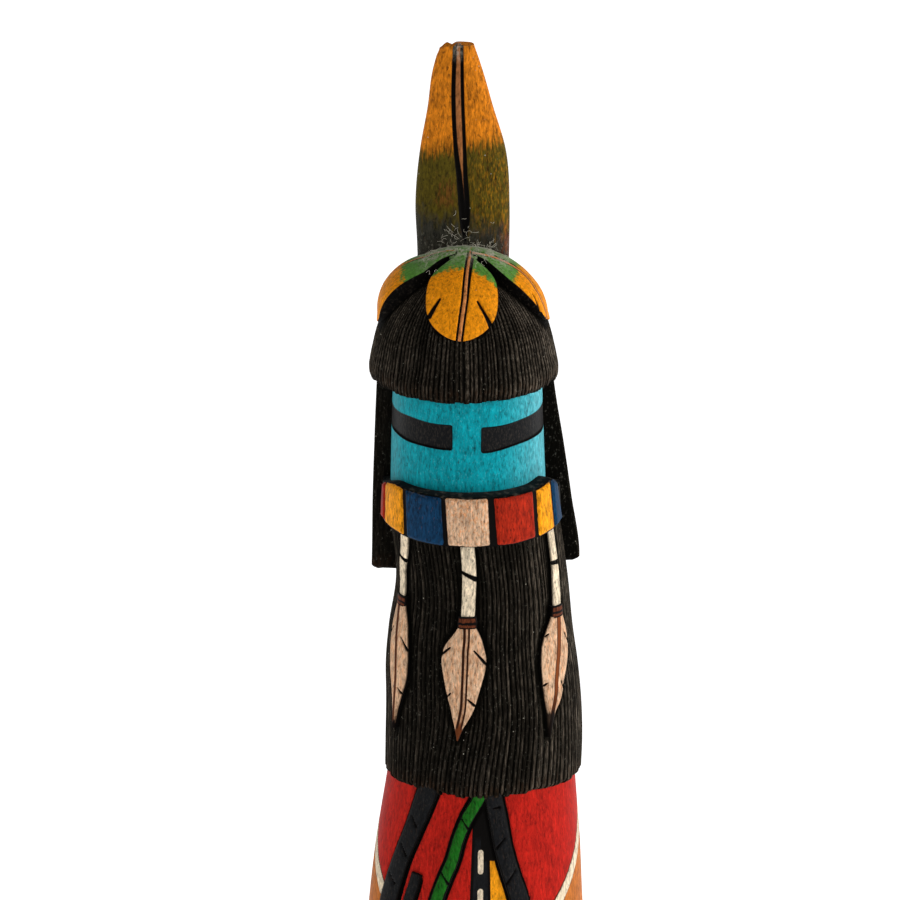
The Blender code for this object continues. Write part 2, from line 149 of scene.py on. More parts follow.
# The collar's painted blocks. Each joint between them has its angle, how far it leans over the
# collar's height, and half the width of the black there. Past the first and last all is black.
COLLAR_JOINTS = (
    (-80.0, 1.0, 0.3), (-69.3, 2.5, 0.25), (-44.8, 2.8, 0.48), (-16.3, 2.2, 0.48),
    (12.7, 1.8, 0.68), (43.0, 1.5, 0.5), (61.5, 3.5, 0.38), (76.0, 10.0, 0.3),
)
COLLAR_PAINTS = ("brick", "yellow", "blue", "leaf", "brick", "yellow", "blue")
# Its lower and upper edges, as a start and smooth steps over angles, and the profile under its face
# and over it, as how far inward and up.
COLLAR_LOW = (204.2, ((-20.0, -75.0, 0.9), (20.0, 60.0, 0.2)))
COLLAR_HIGH = (214.4, ((-55.0, -90.0, -2.6), (45.0, 60.0, 0.4), (62.0, 82.0, -3.6)))
COLLAR_TUCK = 0.9  # how far each edge draws in behind, under the hair
COLLAR_UNDER = ((3.5, 0.5), (0.9, 0.1))
COLLAR_OVER = ((0.5, 0.1), (1.2, 0.18), (2.2, 0.22), (3.6, 0.2), (5.0, 0.2))
COLLAR_ROWS = 30
COLLAR_BEHIND = 4.0  # how far inside the hair its hidden part lies
COLLAR_CORNER = 0.35  # radius of a block's corners
COLLAR_ROUNDING = 0.5  # how far a block's face falls at a joint

# The cap of hair: angle from straight up and distance from a point in the head.
CAP_CENTRE = np.array((-2.45, 0.0, 242.0))
CAP_DEPTH = 1.03
CAP = (
    (0.0, 15.6), (30.0, 15.8), (55.0, 16.2), (75.0, 17.1), (88.0, 17.75), (97.0, 18.45),
    (103.0, 19.15), (108.0, 19.85), (112.5, 20.35),
)
CAP_LIP = ((18.4, -9.0), (16.3, -9.8), (13.0, -8.6))
CAP_FRONT_RISE = 1.7
CAP_RISE_FROM = 92.0
CAP_RADIUS = 19.0
CAP_GROOVED = 34.0  # from this angle down the grooves have their full depth

# Four broad feathers over the crown: angle from straight up, and half width.
PETAL = (
    (5.0, 1.6), (12.0, 3.0), (16.0, 4.1), (20.0, 5.3), (26.0, 6.6), (33.0, 7.35), (44.0, 7.6),
    (54.0, 7.25), (62.0, 6.1), (68.0, 4.2), (71.5, 2.2), (72.8, 0.5),
)
PETAL_RADIUS = 18.2
PETAL_TIP_FROM = 55.0
PETAL_TIP_SINK = 0.6
PETAL_THICKNESS = 4.2
PETAL_SLIT = 0.5
PETAL_SWELL = (26.0, 54.0)  # where the bulge starts, and the angle that it takes
PETAL_GROOVES = (0.3, 0.38)  # depth and half width of the grooves beside the quill
# Each one's turn, shares of the width and length, bulge, the smooth margin round it, and slits as
# angles across and from straight up.
PETALS = (
    (-2.0, 1.0, 1.0, -0.8, -0.7, (((14.4, 43.5), (21.8, 55.2)), ((-10.5, 45.5), (-20.5, 63.0)))),
    (90.3, 0.92, 1.06, 0.0, 0.8, (((15.5, 52.0), (20.0, 67.0)), ((-12.0, 46.0), (-20.0, 58.0)))),
    (179.1, 0.95, 1.0, 0.0, 0.3, (((13.0, 44.0), (21.0, 56.0)), ((-11.0, 46.0), (-20.5, 61.0)))),
    (-93.0, 0.9, 1.09, 1.15, 0.8, (((12.0, 45.0), (20.0, 58.0)),)),
)
PETAL_STEM = ((-14.0, 2.0), (-4.0, 1.7))  # the front one's foot, in front of the tall feather
PETAL_LIFTS = (0.06, 0.03, 0.0, 0.03)  # so that no two lie in one surface where they meet
# Their quills, as points of angle from straight up and across, and where the green ends, as angles
# across and from straight up.
PETAL_QUILLS = (
    ((-14.0, -5.4), (6.2, -4.2), (46.1, -2.0), (72.6, 1.1)),
    ((6.0, 2.0), (42.5, 2.1), (53.4, 6.6), (60.1, 9.0)),
    ((6.0, 0.0), (45.0, 1.5), (72.0, -1.0)),
    ((6.0, 2.0), (40.0, 6.0), (70.0, 9.0)),
)
PETAL_EDGES = (
    ((-23.1, 33.9), (-8.4, 24.9), (7.6, 21.8), (19.1, 26.6)),
    ((-20.0, 39.0), (20.0, 36.0)),
    ((-20.0, 35.0), (0.0, 31.0), (20.0, 36.0)),
    ((-20.0, 42.0), (20.0, 41.0)),
)
QUILL_GAP = 0.55
# The knob that they spring from: its angle from straight up, how much more that is behind, where it
# would end being green, and its profile as shares of that angle and depths below its face.
CROWN_KNOB = 11.0
CROWN_KNOB_BACK = 14.0
KNOB_GREEN = 19.0
KNOB_RISE = 0.06
KNOB_PROFILE = (
    (0.3, PETAL_THICKNESS), (0.98, 0.5), (1.0, 0.12), (0.97, 0.0), (0.85, 0.0), (0.65, 0.0),
    (0.45, 0.0), (0.2, 0.0),
)

# The tall feather: height, half width, half thickness and centre, and its quill: height, the
# sideways place of its middle, half the gap between its two grooves, and a groove's half width.
TALL_FEATHER = (
    (248.0, 9.0, 3.6, -2.45), (259.0, 9.35, 3.5, -2.5), (267.0, 9.5, 3.3, -2.72),
    (278.5, 8.6, 2.9, -2.72), (288.0, 6.5, 2.5, -3.2), (295.0, 5.15, 2.1, -3.65),
    (299.2, 4.0, 1.7, -3.75), (TOP, 3.5, 1.5, -3.8),
)
TALL_QUILL = (
    (248.0, -2.2, 0.0, 0.0), (260.0, -2.2, 0.1, 0.1), (264.0, -2.2, 0.4, 0.55),
    (268.9, -2.36, 0.55, 0.62), (273.5, -2.7, 0.6, 0.55), (279.5, -3.15, 0.86, 0.42),
    (290.0, -3.6, 0.92, 0.4), (TOP, -3.55, 0.7, 0.38),
)
TALL_FEATHER_BACK = 8.5
TALL_POWER = 0.8  # 1 is an ellipse, and less is squarer
# Its broken tip: a nick's depth, place and half width, and how much more is lost towards each side,
# as a start and smooth steps.
TIP_NICK = (0.6, -4.9, 0.6)
TIP_LOSS = (0.0, ((-5.6, -7.2, 0.9), (-1.0, 0.5, 0.3)))

# Fibres of lint: points in each, radius, the share on the tall feather, the height of its foot, and
# the ranges of length, first heading, turning and lift.
LINT_POINTS = 10
LINT_RADIUS = 0.024
LINT_STANDING = 0.5
LINT_FOOT = 259.0
LINT_RANGES = ((0.4, 2.1), (-3.1, 3.1), (-3.5, 3.5), (0.05, 0.4))
# Where they lie: across the tall feather and up it, then along the crown from straight up in
# degrees, how much further a few lie, and across it in millimetres.
LINT_SIDE = (-7.0, 3.5)
LINT_CLIMB = 7.0
LINT_ALONG = (-13.0, 1.0)
LINT_SPREAD = 24.0
LINT_ACROSS = (-9.0, 9.0)

# The mask's two eye bands: the angles of their ends, and how far the inner end hangs.
EYE_HEIGHT = 226.2
EYE_HALF = 2.5
EYES = ((-100.0, -11.9, 0.15), (10.9, 100.0, 0.65))
EYE_LEVEL_FROM = 45.0
EYE_TOP_DROP = 0.4
EYE_CORNER = 0.25  # radius of their corners

# Three feathers hang on the beard. Each has points of angle, height and half width along its strap,
# its tie and its leaf, the leaf's slits and the strap's cut as pairs of angle and height, and for its
# quill the half gap at the tie, the lean, how brown it is, its lines' half width, and the share of
# the leaf's length past which the tip is burned.
HUNG_FEATHERS = {
    "middle": {
        "strap": ((-5.3, 205.0, 1.38), (-6.7, 198.4, 1.42), (-9.0, 192.5, 1.36), (-10.1, 187.8, 1.38)),
        "tie": ((-10.2, 188.5, 1.7), (-10.0, 187.2, 1.9), (-9.8, 186.0, 1.8)),
        "leaf": (
            (-9.9, 186.2, 1.7), (-10.1, 183.6, 3.1), (-11.0, 181.2, 4.1), (-11.5, 179.1, 4.4),
            (-12.0, 177.0, 4.2), (-12.9, 173.0, 3.35), (-13.7, 169.6, 2.5), (-15.2, 166.9, 1.6),
            (-16.3, 165.0, 0.88), (-17.2, 162.3, 0.1),
        ),
        "quill": (0.44, 0.4, 0.3, 0.24, 0.88),
        "slits": (
            ((-20.8, 181.8), (-28.0, 179.8)),
            ((-4.7, 181.4), (3.4, 178.5)),
            ((-20.8, 172.2), (-24.6, 171.0)),
            ((-9.6, 171.1), (-4.4, 169.5)),
        ),
        "cut": ((-13.0, 198.1), (-2.2, 196.4)),
    },
    "left": {
        "strap": ((-52.8, 205.3, 1.2), (-57.3, 200.5, 1.2), (-63.4, 195.7, 1.2), (-65.0, 189.8, 1.1)),
        "tie": ((-64.0, 190.0, 1.6), (-64.2, 188.9, 1.75), (-64.3, 187.9, 1.6)),
        "leaf": (
            (-64.3, 188.1, 1.6), (-63.2, 184.4, 2.7), (-62.2, 180.6, 3.1), (-61.3, 177.0, 3.1),
            (-60.8, 173.4, 2.7), (-61.6, 170.2, 1.8), (-63.6, 165.7, 0.7), (-64.8, 161.8, 0.1),
        ),
        "quill": (0.0, 0.1, 1.0, 0.46, 0.93),
        "slits": (
            ((-58.0, 181.6), (-51.5, 179.1)),
            ((-68.0, 183.1), (-73.0, 181.1)),
            ((-59.5, 170.9), (-55.5, 169.6)),
        ),
        "cut": ((-66.0, 198.8), (-54.5, 197.6)),
    },
    "right": {
        "strap": ((59.5, 205.5, 1.0), (60.0, 198.0, 1.1), (59.0, 193.0, 1.25), (57.8, 188.1, 1.3)),
        "tie": ((57.0, 188.5, 1.6), (56.8, 187.3, 1.8), (56.6, 186.1, 1.75)),
        "leaf": (
            (56.6, 186.4, 1.8), (55.8, 183.4, 3.1), (54.7, 180.9, 3.75), (53.6, 179.1, 3.85),
            (51.4, 176.4, 3.5), (49.3, 173.4, 2.8), (48.4, 171.1, 2.4), (47.2, 169.3, 1.95),
            (45.2, 166.8, 1.0), (43.0, 161.8, 0.1),
        ),
        "quill": (0.5, 0.25, 1.0, 0.1, 0.86),
        "slits": (
            ((47.5, 183.2), (42.0, 182.5)),
            ((62.0, 182.4), (66.8, 179.9)),
            ((54.3, 172.9), (57.8, 170.6)),
            ((43.5, 173.2), (39.8, 172.6)),
        ),
        "cut": ((51.5, 197.6), (62.5, 197.2)),
    },
}
STRAP_LIFT = 0.6
TIE_LIFT = 0.95
LEAF_LIFT = 0.9
LEAF_SINK = 1.6
LEAF_SLIT = 0.3
STRAP_SLIT = 0.34
QUILL_TAPER = 0.3
# How many rows of points go along and across each kind of strip.
LEAF_GRID = (130, 60)
STRAP_GRID = (70, 20)
TIE_GRID = (24, 16)
BAND_GRID = (150, 22)
PETAL_GRID = (110, 90)

# Raised bands like split feathers on the robe: the width of the black beside it, points of angle,
# height and half width, and slits.
ROBE_BANDS = {
    "left": (
        0.55,
        (
            (-35.7, 152.5, 2.1), (-39.8, 148.2, 2.2), (-45.5, 141.6, 2.0), (-51.6, 134.9, 2.05),
            (-57.5, 126.2, 2.4), (-63.0, 116.0, 2.5), (-68.0, 107.0, 2.0), (-71.5, 100.5, 0.6),
        ),
        (
            ((-46.5, 144.6), (-42.6, 142.6)),
            ((-51.5, 138.5), (-47.4, 136.2)),
            ((-57.7, 131.6), (-53.0, 129.8)),
        ),
    ),
    "short": (
        0.35,
        (
            (-38.9, 133.0, 1.15), (-40.8, 129.6, 1.2), (-42.6, 127.0, 1.25), (-47.5, 117.0, 1.4),
            (-53.0, 106.0, 1.3), (-56.0, 100.0, 0.5),
        ),
        (((-43.5, 121.0), (-47.5, 122.5)),),
    ),
    "green": (
        0.6,
        (
            (1.1, 152.0, 1.3), (-2.7, 149.2, 1.28), (-8.2, 146.1, 1.25), (-12.3, 142.9, 1.2),
            (-14.9, 139.9, 1.2), (-17.0, 136.6, 1.25), (-21.2, 132.5, 1.3), (-24.8, 128.4, 1.35),
            (-31.5, 118.0, 1.5), (-38.0, 108.0, 1.4), (-43.0, 100.5, 0.5),
        ),
        (
            ((-12.5, 145.3), (-6.5, 142.5)),
            ((-25.0, 134.8), (-18.2, 131.6)),
            ((-33.0, 121.0), (-27.5, 118.5)),
        ),
    ),
    "right": (
        0.6,
        (
            (7.6, 152.0, 1.65), (8.8, 149.1, 1.7), (11.0, 146.0, 1.75), (13.1, 142.9, 1.75),
            (15.1, 139.8, 1.75), (17.6, 136.8, 1.75), (21.8, 132.5, 1.75), (26.0, 128.4, 1.85),
            (34.0, 118.0, 2.0), (42.0, 107.0, 2.0), (47.5, 100.0, 0.6),
        ),
        (
            ((16.2, 141.4), (11.4, 139.4)),
            ((23.2, 134.6), (18.0, 131.8)),
            ((8.0, 147.6), (12.2, 147.8)),
        ),
    ),
}
BAND_LIFT = 0.8
BAND_SINK = 1.5

# The stage: the floor's rings as radius and height, the lights as place in metres, width and power,
# and the camera, which stands off from a place on the figure, up and back in its own directions.
WHITE = (1.0, 1.0, 1.0, 1.0)
WALL = (0.91, 0.91, 0.91, 1.0)
GLOW = 0.15
FLOOR_RINGS = ((40000.0, -20.0), (40000.0, 0.0), (12000.0, 0.0), (3000.0, 0.0), (500.0, 0.0))
LIGHTS = {
    "light_right": ((2.3, -0.6, 1.0), 1.4, 46.0),
    "light_left": ((-2.3, -0.6, 1.0), 1.4, 12.0),
    "light_front": ((0.8, -2.6, 1.4), 1.0, 4.0),
    "light_top": ((0.0, 0.6, 2.6), 2.0, 6.0),
}
LIT_PLACE = (0.0, 0.0, 0.2)
CAMERA_TILT = 20.0
CAMERA_LENS = 1000.0
CAMERA_REACH = 20.0
CAMERA_AIM = (-5.2, 0.0, 122.0)
CAMERA_SHIFT = (0.0, 90.15, 5035.0)

STRAND_PLACES = np.array((0.0, 0.1, 0.25, 0.5, 0.75, 0.9))  # the columns of one lock, as shares
SHARP_ANGLE = 50.0

# A strip's face: how much lower its edges are, as a share of its height, how much its corner is
# rounded, how far down its walls' upper points are, and a slit's width where it starts, as a share.
FACE_FALL = 0.3
FACE_ROUNDING = 0.15
WALL_TOP = 0.25
SLIT_START = 0.35


def linear(red, green, blue):
    """A screen colour from 0 to 255 as the linear colour that a shader uses."""
    shares = np.array((red, green, blue)) / 255
    return tuple(np.where(shares > 0.04045, ((shares + 0.055) / 1.055) ** 2.4, shares / 12.92))


def size_property(name, millimetres, description):
    return FloatProperty(
        name=name,
        description=description,
        default=millimetres * MM,
        min=0.0,
        precision=5,
        subtype="DISTANCE",
        unit="LENGTH",
    )


def paint_property(name, screen, description):
    return FloatVectorProperty(
        name=name, description=description, default=linear(*screen), min=0.0, max=1.0, subtype="COLOR"
    )


class KachinaSizes(bpy.types.PropertyGroup):
    """Sizes of the carving's fine relief."""

    lock_pitch: size_property("Lock pitch", 0.98, "From one engraved hair line to the next")
    lock_depth: size_property("Lock depth", 0.42, "Depth of an engraved hair line")
    margin_sink: size_property("Margin sink", 0.35, "How far the wood is cut away round a hung feather")
    eye_sink: size_property("Eye sink", 0.35, "Depth of the eye bands")
    slit_depth: size_property("Slit depth", 0.45, "Depth of the slits in feathers and bands")
    quill_depth: size_property("Quill depth", 0.5, "Depth of the tall feather's quill grooves")
    unevenness: size_property("Unevenness", 0.09, "How far hand carving leaves a surface from its true form")
    grain_depth: size_property("Grain depth", 0.05, "Depth of the wood grain under the paint")
    lint_count: IntProperty(name="Lint", description="Fibres of lint on the crown", default=130, min=4)


class KachinaPaints(bpy.types.PropertyGroup):
    """Colours of the paints and stains."""

    red: paint_property("Red", (174, 28, 18), "Robe")
    brick: paint_property("Brick red", (157, 35, 14), "Collar blocks")
    ochre: paint_property("Ochre", (184, 106, 44), "Robe outside the shawl")
    cream: paint_property("Cream", (221, 203, 175), "Stripes and straps")
    navy: paint_property("Navy black", (19, 20, 22), "Bands and sash")
    line: paint_property("Line", (6, 4, 3), "Black outlines")
    burned: paint_property("Burned", (52, 26, 14), "Brown lines along the shawl's stripe")
    green: paint_property("Green", (21, 92, 19), "Green band")
    yellow: paint_property("Yellow", (231, 148, 20), "Yellow parts")
    blue: paint_property("Blue", (11, 51, 83), "Collar blocks")
    turquoise: paint_property("Turquoise", (3, 141, 153), "Mask")
    # Painted highlight: the paler turquoise of the mask's sides.
    chalk: paint_property("Highlighted turquoise", (150, 225, 235), "Where the mask's paint is rubbed")
    hair: paint_property("Hair", (6, 5, 3), "Stain in the hair's grooves")
    # Worn hair: the grey of the hair's ridges, partly worn stain and partly painted highlight.
    worn: paint_property("Worn hair", (112, 101, 88), "The hair's ridges")
    tips: paint_property("Hair tips", (88, 58, 36), "Where the stain is thin at the tips of the hair")
    plume_orange: paint_property("Plume orange", (197, 114, 20), "Tall feather, upper part")
    plume_olive: paint_property("Plume olive", (76, 65, 13), "Tall feather, middle")
    plume_dark: paint_property("Plume dark", (46, 46, 42), "Tall feather, foot")
    petal_orange: paint_property("Petal orange", (232, 142, 14), "Crown feathers' ends")
    petal_green: paint_property("Petal green", (84, 138, 54), "Crown feathers' upper part")
    leaf: paint_property("Leaf", (203, 168, 137), "Hung feathers and the pale collar block")
    wood: paint_property("Bare wood", (150, 92, 50), "Root wood where the paint is thin")
    quill: paint_property("Quill brown", (122, 62, 28), "Quills and ties")
    tie: paint_property("Tie brown", (92, 46, 26), "Ties of the hung feathers")
    strip: paint_property("Strip brown", (206, 131, 73), "Between the quill lines of the crown feathers")
    dust: paint_property("Dust", (190, 184, 168), "Dust and lint")
    base_dark: paint_property("Base dark", (58, 34, 20), "Base wood, late grain")
    base_light: paint_property("Base light", (98, 60, 34), "Base wood, early grain")


# Shader tools


class Signal:
    """A shader socket on which arithmetic with numbers and other signals adds the Math nodes."""

    def __init__(self, finish, socket):
        self.finish = finish
        self.socket = socket

    def math(self, operation, *terms):
        return self.finish.node("ShaderNodeMath", {"operation": operation}, dict(enumerate(terms)))

    def __add__(self, other):
        return self.math("ADD", self, other)

    def __sub__(self, other):
        return self.math("SUBTRACT", self, other)

    def __rsub__(self, other):
        return self.math("SUBTRACT", other, self)

    def __mul__(self, other):
        return self.math("MULTIPLY", self, other)

    def __truediv__(self, other):
        return self.math("DIVIDE", self, other)

    def __pow__(self, other):
        return self.math("POWER", self, other)

    def __abs__(self):
        return self.math("ABSOLUTE", self)

    __radd__ = __add__
    __rmul__ = __mul__

    def least(self, other):
        return self.math("MINIMUM", self, other)

    def most(self, other):
        return self.math("MAXIMUM", self, other)

    def rise(self, low, high):
        """0 where this is below low, 1 above high and a smooth step between; low may be the larger."""
        settings = {"interpolation_type": "SMOOTHSTEP"}
        if low > high:
            return 1 - self.rise(high, low)
        values = {"Value": self, "From Min": low, "From Max": high}
        return self.finish.node("ShaderNodeMapRange", settings, values)


class Finish:
    """A material under construction: its nodes are added through node(), and close() ends it."""

    def __init__(self, name):
        self.material = bpy.data.materials.new(name)
        self.material.use_nodes = True
        self.tree = self.material.node_tree
        self.shader = self.tree.nodes["Principled BSDF"]
        self.paints = bpy.context.scene.kachina_paints
        self.sizes = bpy.context.scene.kachina_sizes
        place = self.node("ShaderNodeTexCoord", output="Object")
        scaled = {"Vector": place, "Scale": 1 / MM}
        self.place = self.node("ShaderNodeVectorMath", {"operation": "SCALE"}, scaled)

    def node(self, kind, settings=None, inputs=None, output=0):
        """Adds a node: its settings first, and then its sockets' values or links."""
        node = self.tree.nodes.new(kind)
        for name, value in (settings or {}).items():
            setattr(node, name, value)
        for key, value in (inputs or {}).items():
            if isinstance(value, Signal):
                self.tree.links.new(value.socket, node.inputs[key])
            else:
                node.inputs[key].default_value = value
        return Signal(self, node.outputs[output])

    def colour(self, colour):
        """A colour as it is, or a paint's colour from its name."""
        return (*getattr(self.paints, colour), 1.0) if isinstance(colour, str) else colour

    def mark(self, name):
        """The three numbers of a piece's attribute."""
        vector = self.node("ShaderNodeAttribute", {"attribute_name": name}, output="Vector")
        parts = self.node("ShaderNodeSeparateXYZ", inputs={0: vector})
        outputs = parts.socket.node.outputs
        return tuple(Signal(self, socket) for socket in outputs)

    def noise(self, across, along, detail=2.0, rough=0.5, shift=0.0):
        """Noise whose spots are about this many millimetres across, and along the height."""
        stretch = (1 / across, 1 / across, 1 / along)
        settings = {"operation": "MULTIPLY_ADD"}
        values = {0: self.place, 1: stretch, 2: (shift, shift, shift)}
        vector = self.node("ShaderNodeVectorMath", settings, values)
        values = {"Vector": vector, "Scale": 1.0, "Detail": detail, "Roughness": rough}
        return self.node("ShaderNodeTexNoise", inputs=values)

    def specks(self, size, amount, shift=0.0):
        """1 in small scattered spots and 0 elsewhere; amount is about the share of cells that have one."""
        values = {0: self.place, 1: (1 / size,) * 3, 2: (shift, shift, shift)}
        vector = self.node("ShaderNodeVectorMath", {"operation": "MULTIPLY_ADD"}, values)
        cells = {"Vector": vector, "Scale": 1.0}
        near = self.node("ShaderNodeTexVoronoi", inputs=cells, output="Distance")
        tag = self.node("ShaderNodeTexVoronoi", inputs=cells, output="Color")
        lucky = self.node("ShaderNodeSeparateColor", inputs={0: tag}).rise(1 - amount, 1 - amount + 0.01)
        return near.rise(0.3, 0.12) * lucky

    def mix(self, share, first, second):
        """The first colour where share is 0, and the second where it is 1."""
        values = {0: share, 6: self.colour(first), 7: self.colour(second)}
        return self.node("ShaderNodeMix", {"data_type": "RGBA"}, values, output=2)

    def shade(self, colour, factor):
        """A colour made lighter or darker."""
        colour = self.colour(colour)
        plain = colour if isinstance(colour, Signal) else colour[:3]
        return self.node("ShaderNodeVectorMath", {"operation": "SCALE"}, {"Vector": plain, "Scale": factor})

    def close(self, colour, roughness, height, depth, specular=0.05, sheen=0.05):
        """Joins the shader up: height from 0 to 1 is raised by depth millimetres."""
        self.tree.links.new(colour.socket, self.shader.inputs["Base Color"])
        self.tree.links.new(roughness.socket, self.shader.inputs["Roughness"])
        values = {"Strength": 1.0, "Distance": depth * MM, "Height": height}
        bump = self.node("ShaderNodeBump", inputs=values)
        self.tree.links.new(bump.socket, self.shader.inputs["Normal"])
        self.shader.inputs["Specular IOR Level"].default_value = specular
        self.shader.inputs["Sheen Weight"].default_value = sheen
        self.shader.inputs["Sheen Roughness"].default_value = 0.35
        return self.material

    def close_painted(self, colour, grain, depth, matt=0.5):
        """Joins the shader up for a paint as rough as matt, and a little rougher on the raised grain."""
        return self.close(colour, grain * 0.15 + matt, grain, depth)


# In each paint, noise() takes sizes in millimetres across and along the grain, and shift keeps one
# pattern apart from the next. rise() takes the two values between which it goes from 0 to 1, mostly
# millimetres from a painted edge. Each line that mixes lies over those before it.
def weather(finish, colour, wear, streaks=1.0):
    """Brushed matt paint on root wood: streaks along the grain, dark pores and bare flecks.

    Returns the colour and the height of the surface, which is low in the grain's pores.
    """
    fine = finish.noise(0.34, 1.0, detail=3.0, rough=0.6)
    coarse = finish.noise(0.6, 2.2, detail=3.0, rough=0.6, shift=53.0)
    pores = finish.noise(0.45, 1.1, detail=3.0, rough=0.6, shift=31.0).rise(0.56, 0.68)
    broad = finish.noise(3.0, 8.0, detail=2.0, shift=77.0)
    light = 1 + (fine - 0.5) * (1.2 * streaks) + (coarse - 0.5) * (1.5 * streaks) + (broad - 0.5) * 0.4
    colour = finish.shade(colour, light.most(0.3) * (1 - pores * (0.4 * streaks)))
    flecks = finish.noise(0.45, 1.3, detail=3.0, rough=0.65, shift=13.0).rise(0.62 - 0.12 * wear, 0.7)
    colour = finish.mix(flecks * wear, colour, "wood")
    height = fine * 0.4 + coarse * 0.3 + (1 - pores) * 0.3
    return colour, height


def hair_finish():
    """Stained locks: near black in the grooves, and grey, streaked and broken on the ridges, which is worn
    stain and painted highlight.
    """
    finish = Finish("hair_black")
    valley = finish.mark("groove")[0]
    tone, margin, tip = finish.mark("tint")
    streak = finish.noise(0.25, 2.4, detail=3.0, rough=0.65).rise(0.42, 0.68)
    patch = finish.noise(4.0, 7.0, detail=2.0, shift=9.0).rise(0.3, 0.7)
    # The ridges' grey is partly painted highlight, and tone carries the painted light that brightens the lit
    # sides.
    ridge = (1 - valley) ** 4.0 * (1 - margin)
    lively = (tone * 0.5 + 0.5).most(0) ** 1.6
    light = ridge * (streak * 0.85 + 0.15) * (patch * 0.6 + 0.4) * (lively * 0.85 + 0.15)
    colour = finish.mix(light.least(1), "hair", "worn")
    brown = tip.rise(3.2, 0.2) * finish.noise(0.5, 1.6, shift=3.0).rise(0.35, 0.65) * ridge
    colour = finish.mix(brown * 0.2, colour, "tips")
    film = finish.noise(0.5, 0.7, detail=4.0, rough=0.7, shift=40.0).rise(0.56, 0.8)
    colour = finish.mix(film * (1 - margin * 0.6) * 0.22, colour, "dust")
    colour = finish.mix(finish.specks(0.5, 0.012) * 0.7, colour, "dust")
    height = streak * 0.8 + film * 0.2
    return finish.close(colour, film * 0.1 + 0.62, height, 0.07, specular=0.012, sheen=0.0)


def robe_finish():
    """The robe: a red shawl with a cream stripe, ochre below it, a dashed sash and black outlines."""
    finish = Finish("painted_root")
    height = finish.mark("place")[0]
    shawl, sash, dash = finish.mark("pattern")
    gap, wedge, fill = finish.mark("bands")
    wobble = (finish.noise(1.1, 1.8, shift=21.0) - 0.5) * 0.35
    edge = shawl + wobble
    colour = finish.mix(edge.rise(STRIPE[0] - 0.1, STRIPE[0]), "red", "ochre")
    colour = finish.mix(wedge.rise(-0.05, 0.05) * edge.rise(0.3, 0.2), colour, "yellow")
    stripe = abs(edge - sum(STRIPE) / 2) - (STRIPE[1] - STRIPE[0]) / 2
    colour = finish.mix(stripe.rise(0.05, -0.05), colour, "cream")
    hem = height.rise(HEM_TOP - 1.1, HEM_TOP - 1.3)
    colour = finish.mix(hem, colour, "red")
    hem_line = abs(abs(height - (HEM_TOP + FOOT) / 2) - 2.6) - 0.45
    colour = finish.mix(hem_line.rise(0.08, -0.08), colour, "cream")
    colour, grain = weather(finish, colour, 0.1)
    inner = (abs(edge - STRIPE[0] + 0.12) - 0.17).rise(0.1, -0.06) * (1 - hem)
    outer = (abs(edge - STRIPE[1] - 0.06) - 0.05).rise(0.1, -0.05) * (1 - hem)
    broken = finish.noise(1.2, 1.2, shift=2.0).rise(0.3, 0.6)
    colour = finish.mix((inner * 0.85).most(outer * broken * 0.7), colour, "burned")
    colour = finish.mix((abs(height - HEM_TOP) - 0.35).rise(0.1, -0.1), colour, "line")
    dark, _ = weather(finish, "navy", 0.0, 1.3)
    dark = finish.mix((abs(sash) - 0.3).rise(0.05, -0.1).most(height.rise(140.0, 142.0)), dark, "line")
    colour = finish.mix(sash.rise(0.34, 0.26), colour, dark)
    outline = (gap + wobble * 0.5).rise(0.08, -0.08).most((fill + wobble).rise(-0.1, 0.1))
    colour = finish.mix(outline, colour, "line")
    pale, _ = weather(finish, "cream", 0.1)
    colour = finish.mix((dash + wobble * 0.4).rise(0.05, -0.05), colour, pale)
    return finish.close_painted(colour, grain, finish.sizes.grain_depth / MM)


def band_finish(name, paint):
    """A raised band of one paint, with black edges and slits."""
    finish = Finish(name)
    across, _, wall = finish.mark("place")
    cut, half, _ = finish.mark("cut")
    wobble = (finish.noise(0.9, 1.4, shift=8.0) - 0.5) * 0.3
    colour, grain = weather(finish, paint, 0.05, 1.3)
    stain = finish.noise(0.3, 0.7, detail=3.0, rough=0.6, shift=4.0).rise(0.5, 0.75)
    colour = finish.mix(stain * 0.12, colour, "worn")
    inset = half - abs(across) + wobble
    colour = finish.mix(inset.rise(0.3, 0.14).most(wall), colour, "line")
    colour = finish.mix(cut.rise(0.16, 0.02), colour, "line")
    return finish.close_painted(colour, grain, 0.05, matt=0.45)


def mask_finish():
    """Turquoise over vertical grain, paler at the sides as painted highlight, and dark sunk eye bands with a
    black outline of painted shade.
    """
    finish = Finish("mask_turquoise")
    eye, turn, _ = finish.mark("eye")
    # Painted highlight: the mask turns paler towards its right side, where the key lamp grazes it, less so at
    # its far left, and in small pale glints all over.
    chalk = finish.noise(0.5, 1.2, detail=3.0, rough=0.65, shift=70.0).rise(0.3, 0.7) * 0.6 + 0.4
    highlighted = (turn.rise(20, 78) * 0.42 + turn.rise(-55, -85) * 0.15) * chalk
    glints = finish.noise(0.32, 0.6, detail=2.0, rough=0.6, shift=91.0).rise(0.55, 0.75) * 0.1
    colour = finish.mix(highlighted.most(glints), "turquoise", "chalk")
    colour, grain = weather(finish, colour, 0.0, 1.1)
    stain = finish.noise(0.3, 0.7, detail=3.0, rough=0.6, shift=4.0)
    dark = finish.mix(stain.rise(0.45, 0.7) * 0.12, finish.shade("navy", 0.85), "worn")
    colour = finish.mix(eye.rise(0.1, -0.1), colour, dark)
    # A black line round each eye band: painted shade along the sunk edge.
    colour = finish.mix((abs(eye) - 0.17).rise(0.08, -0.08), colour, "line")
    return finish.close_painted(colour, grain, 0.06, matt=0.42)


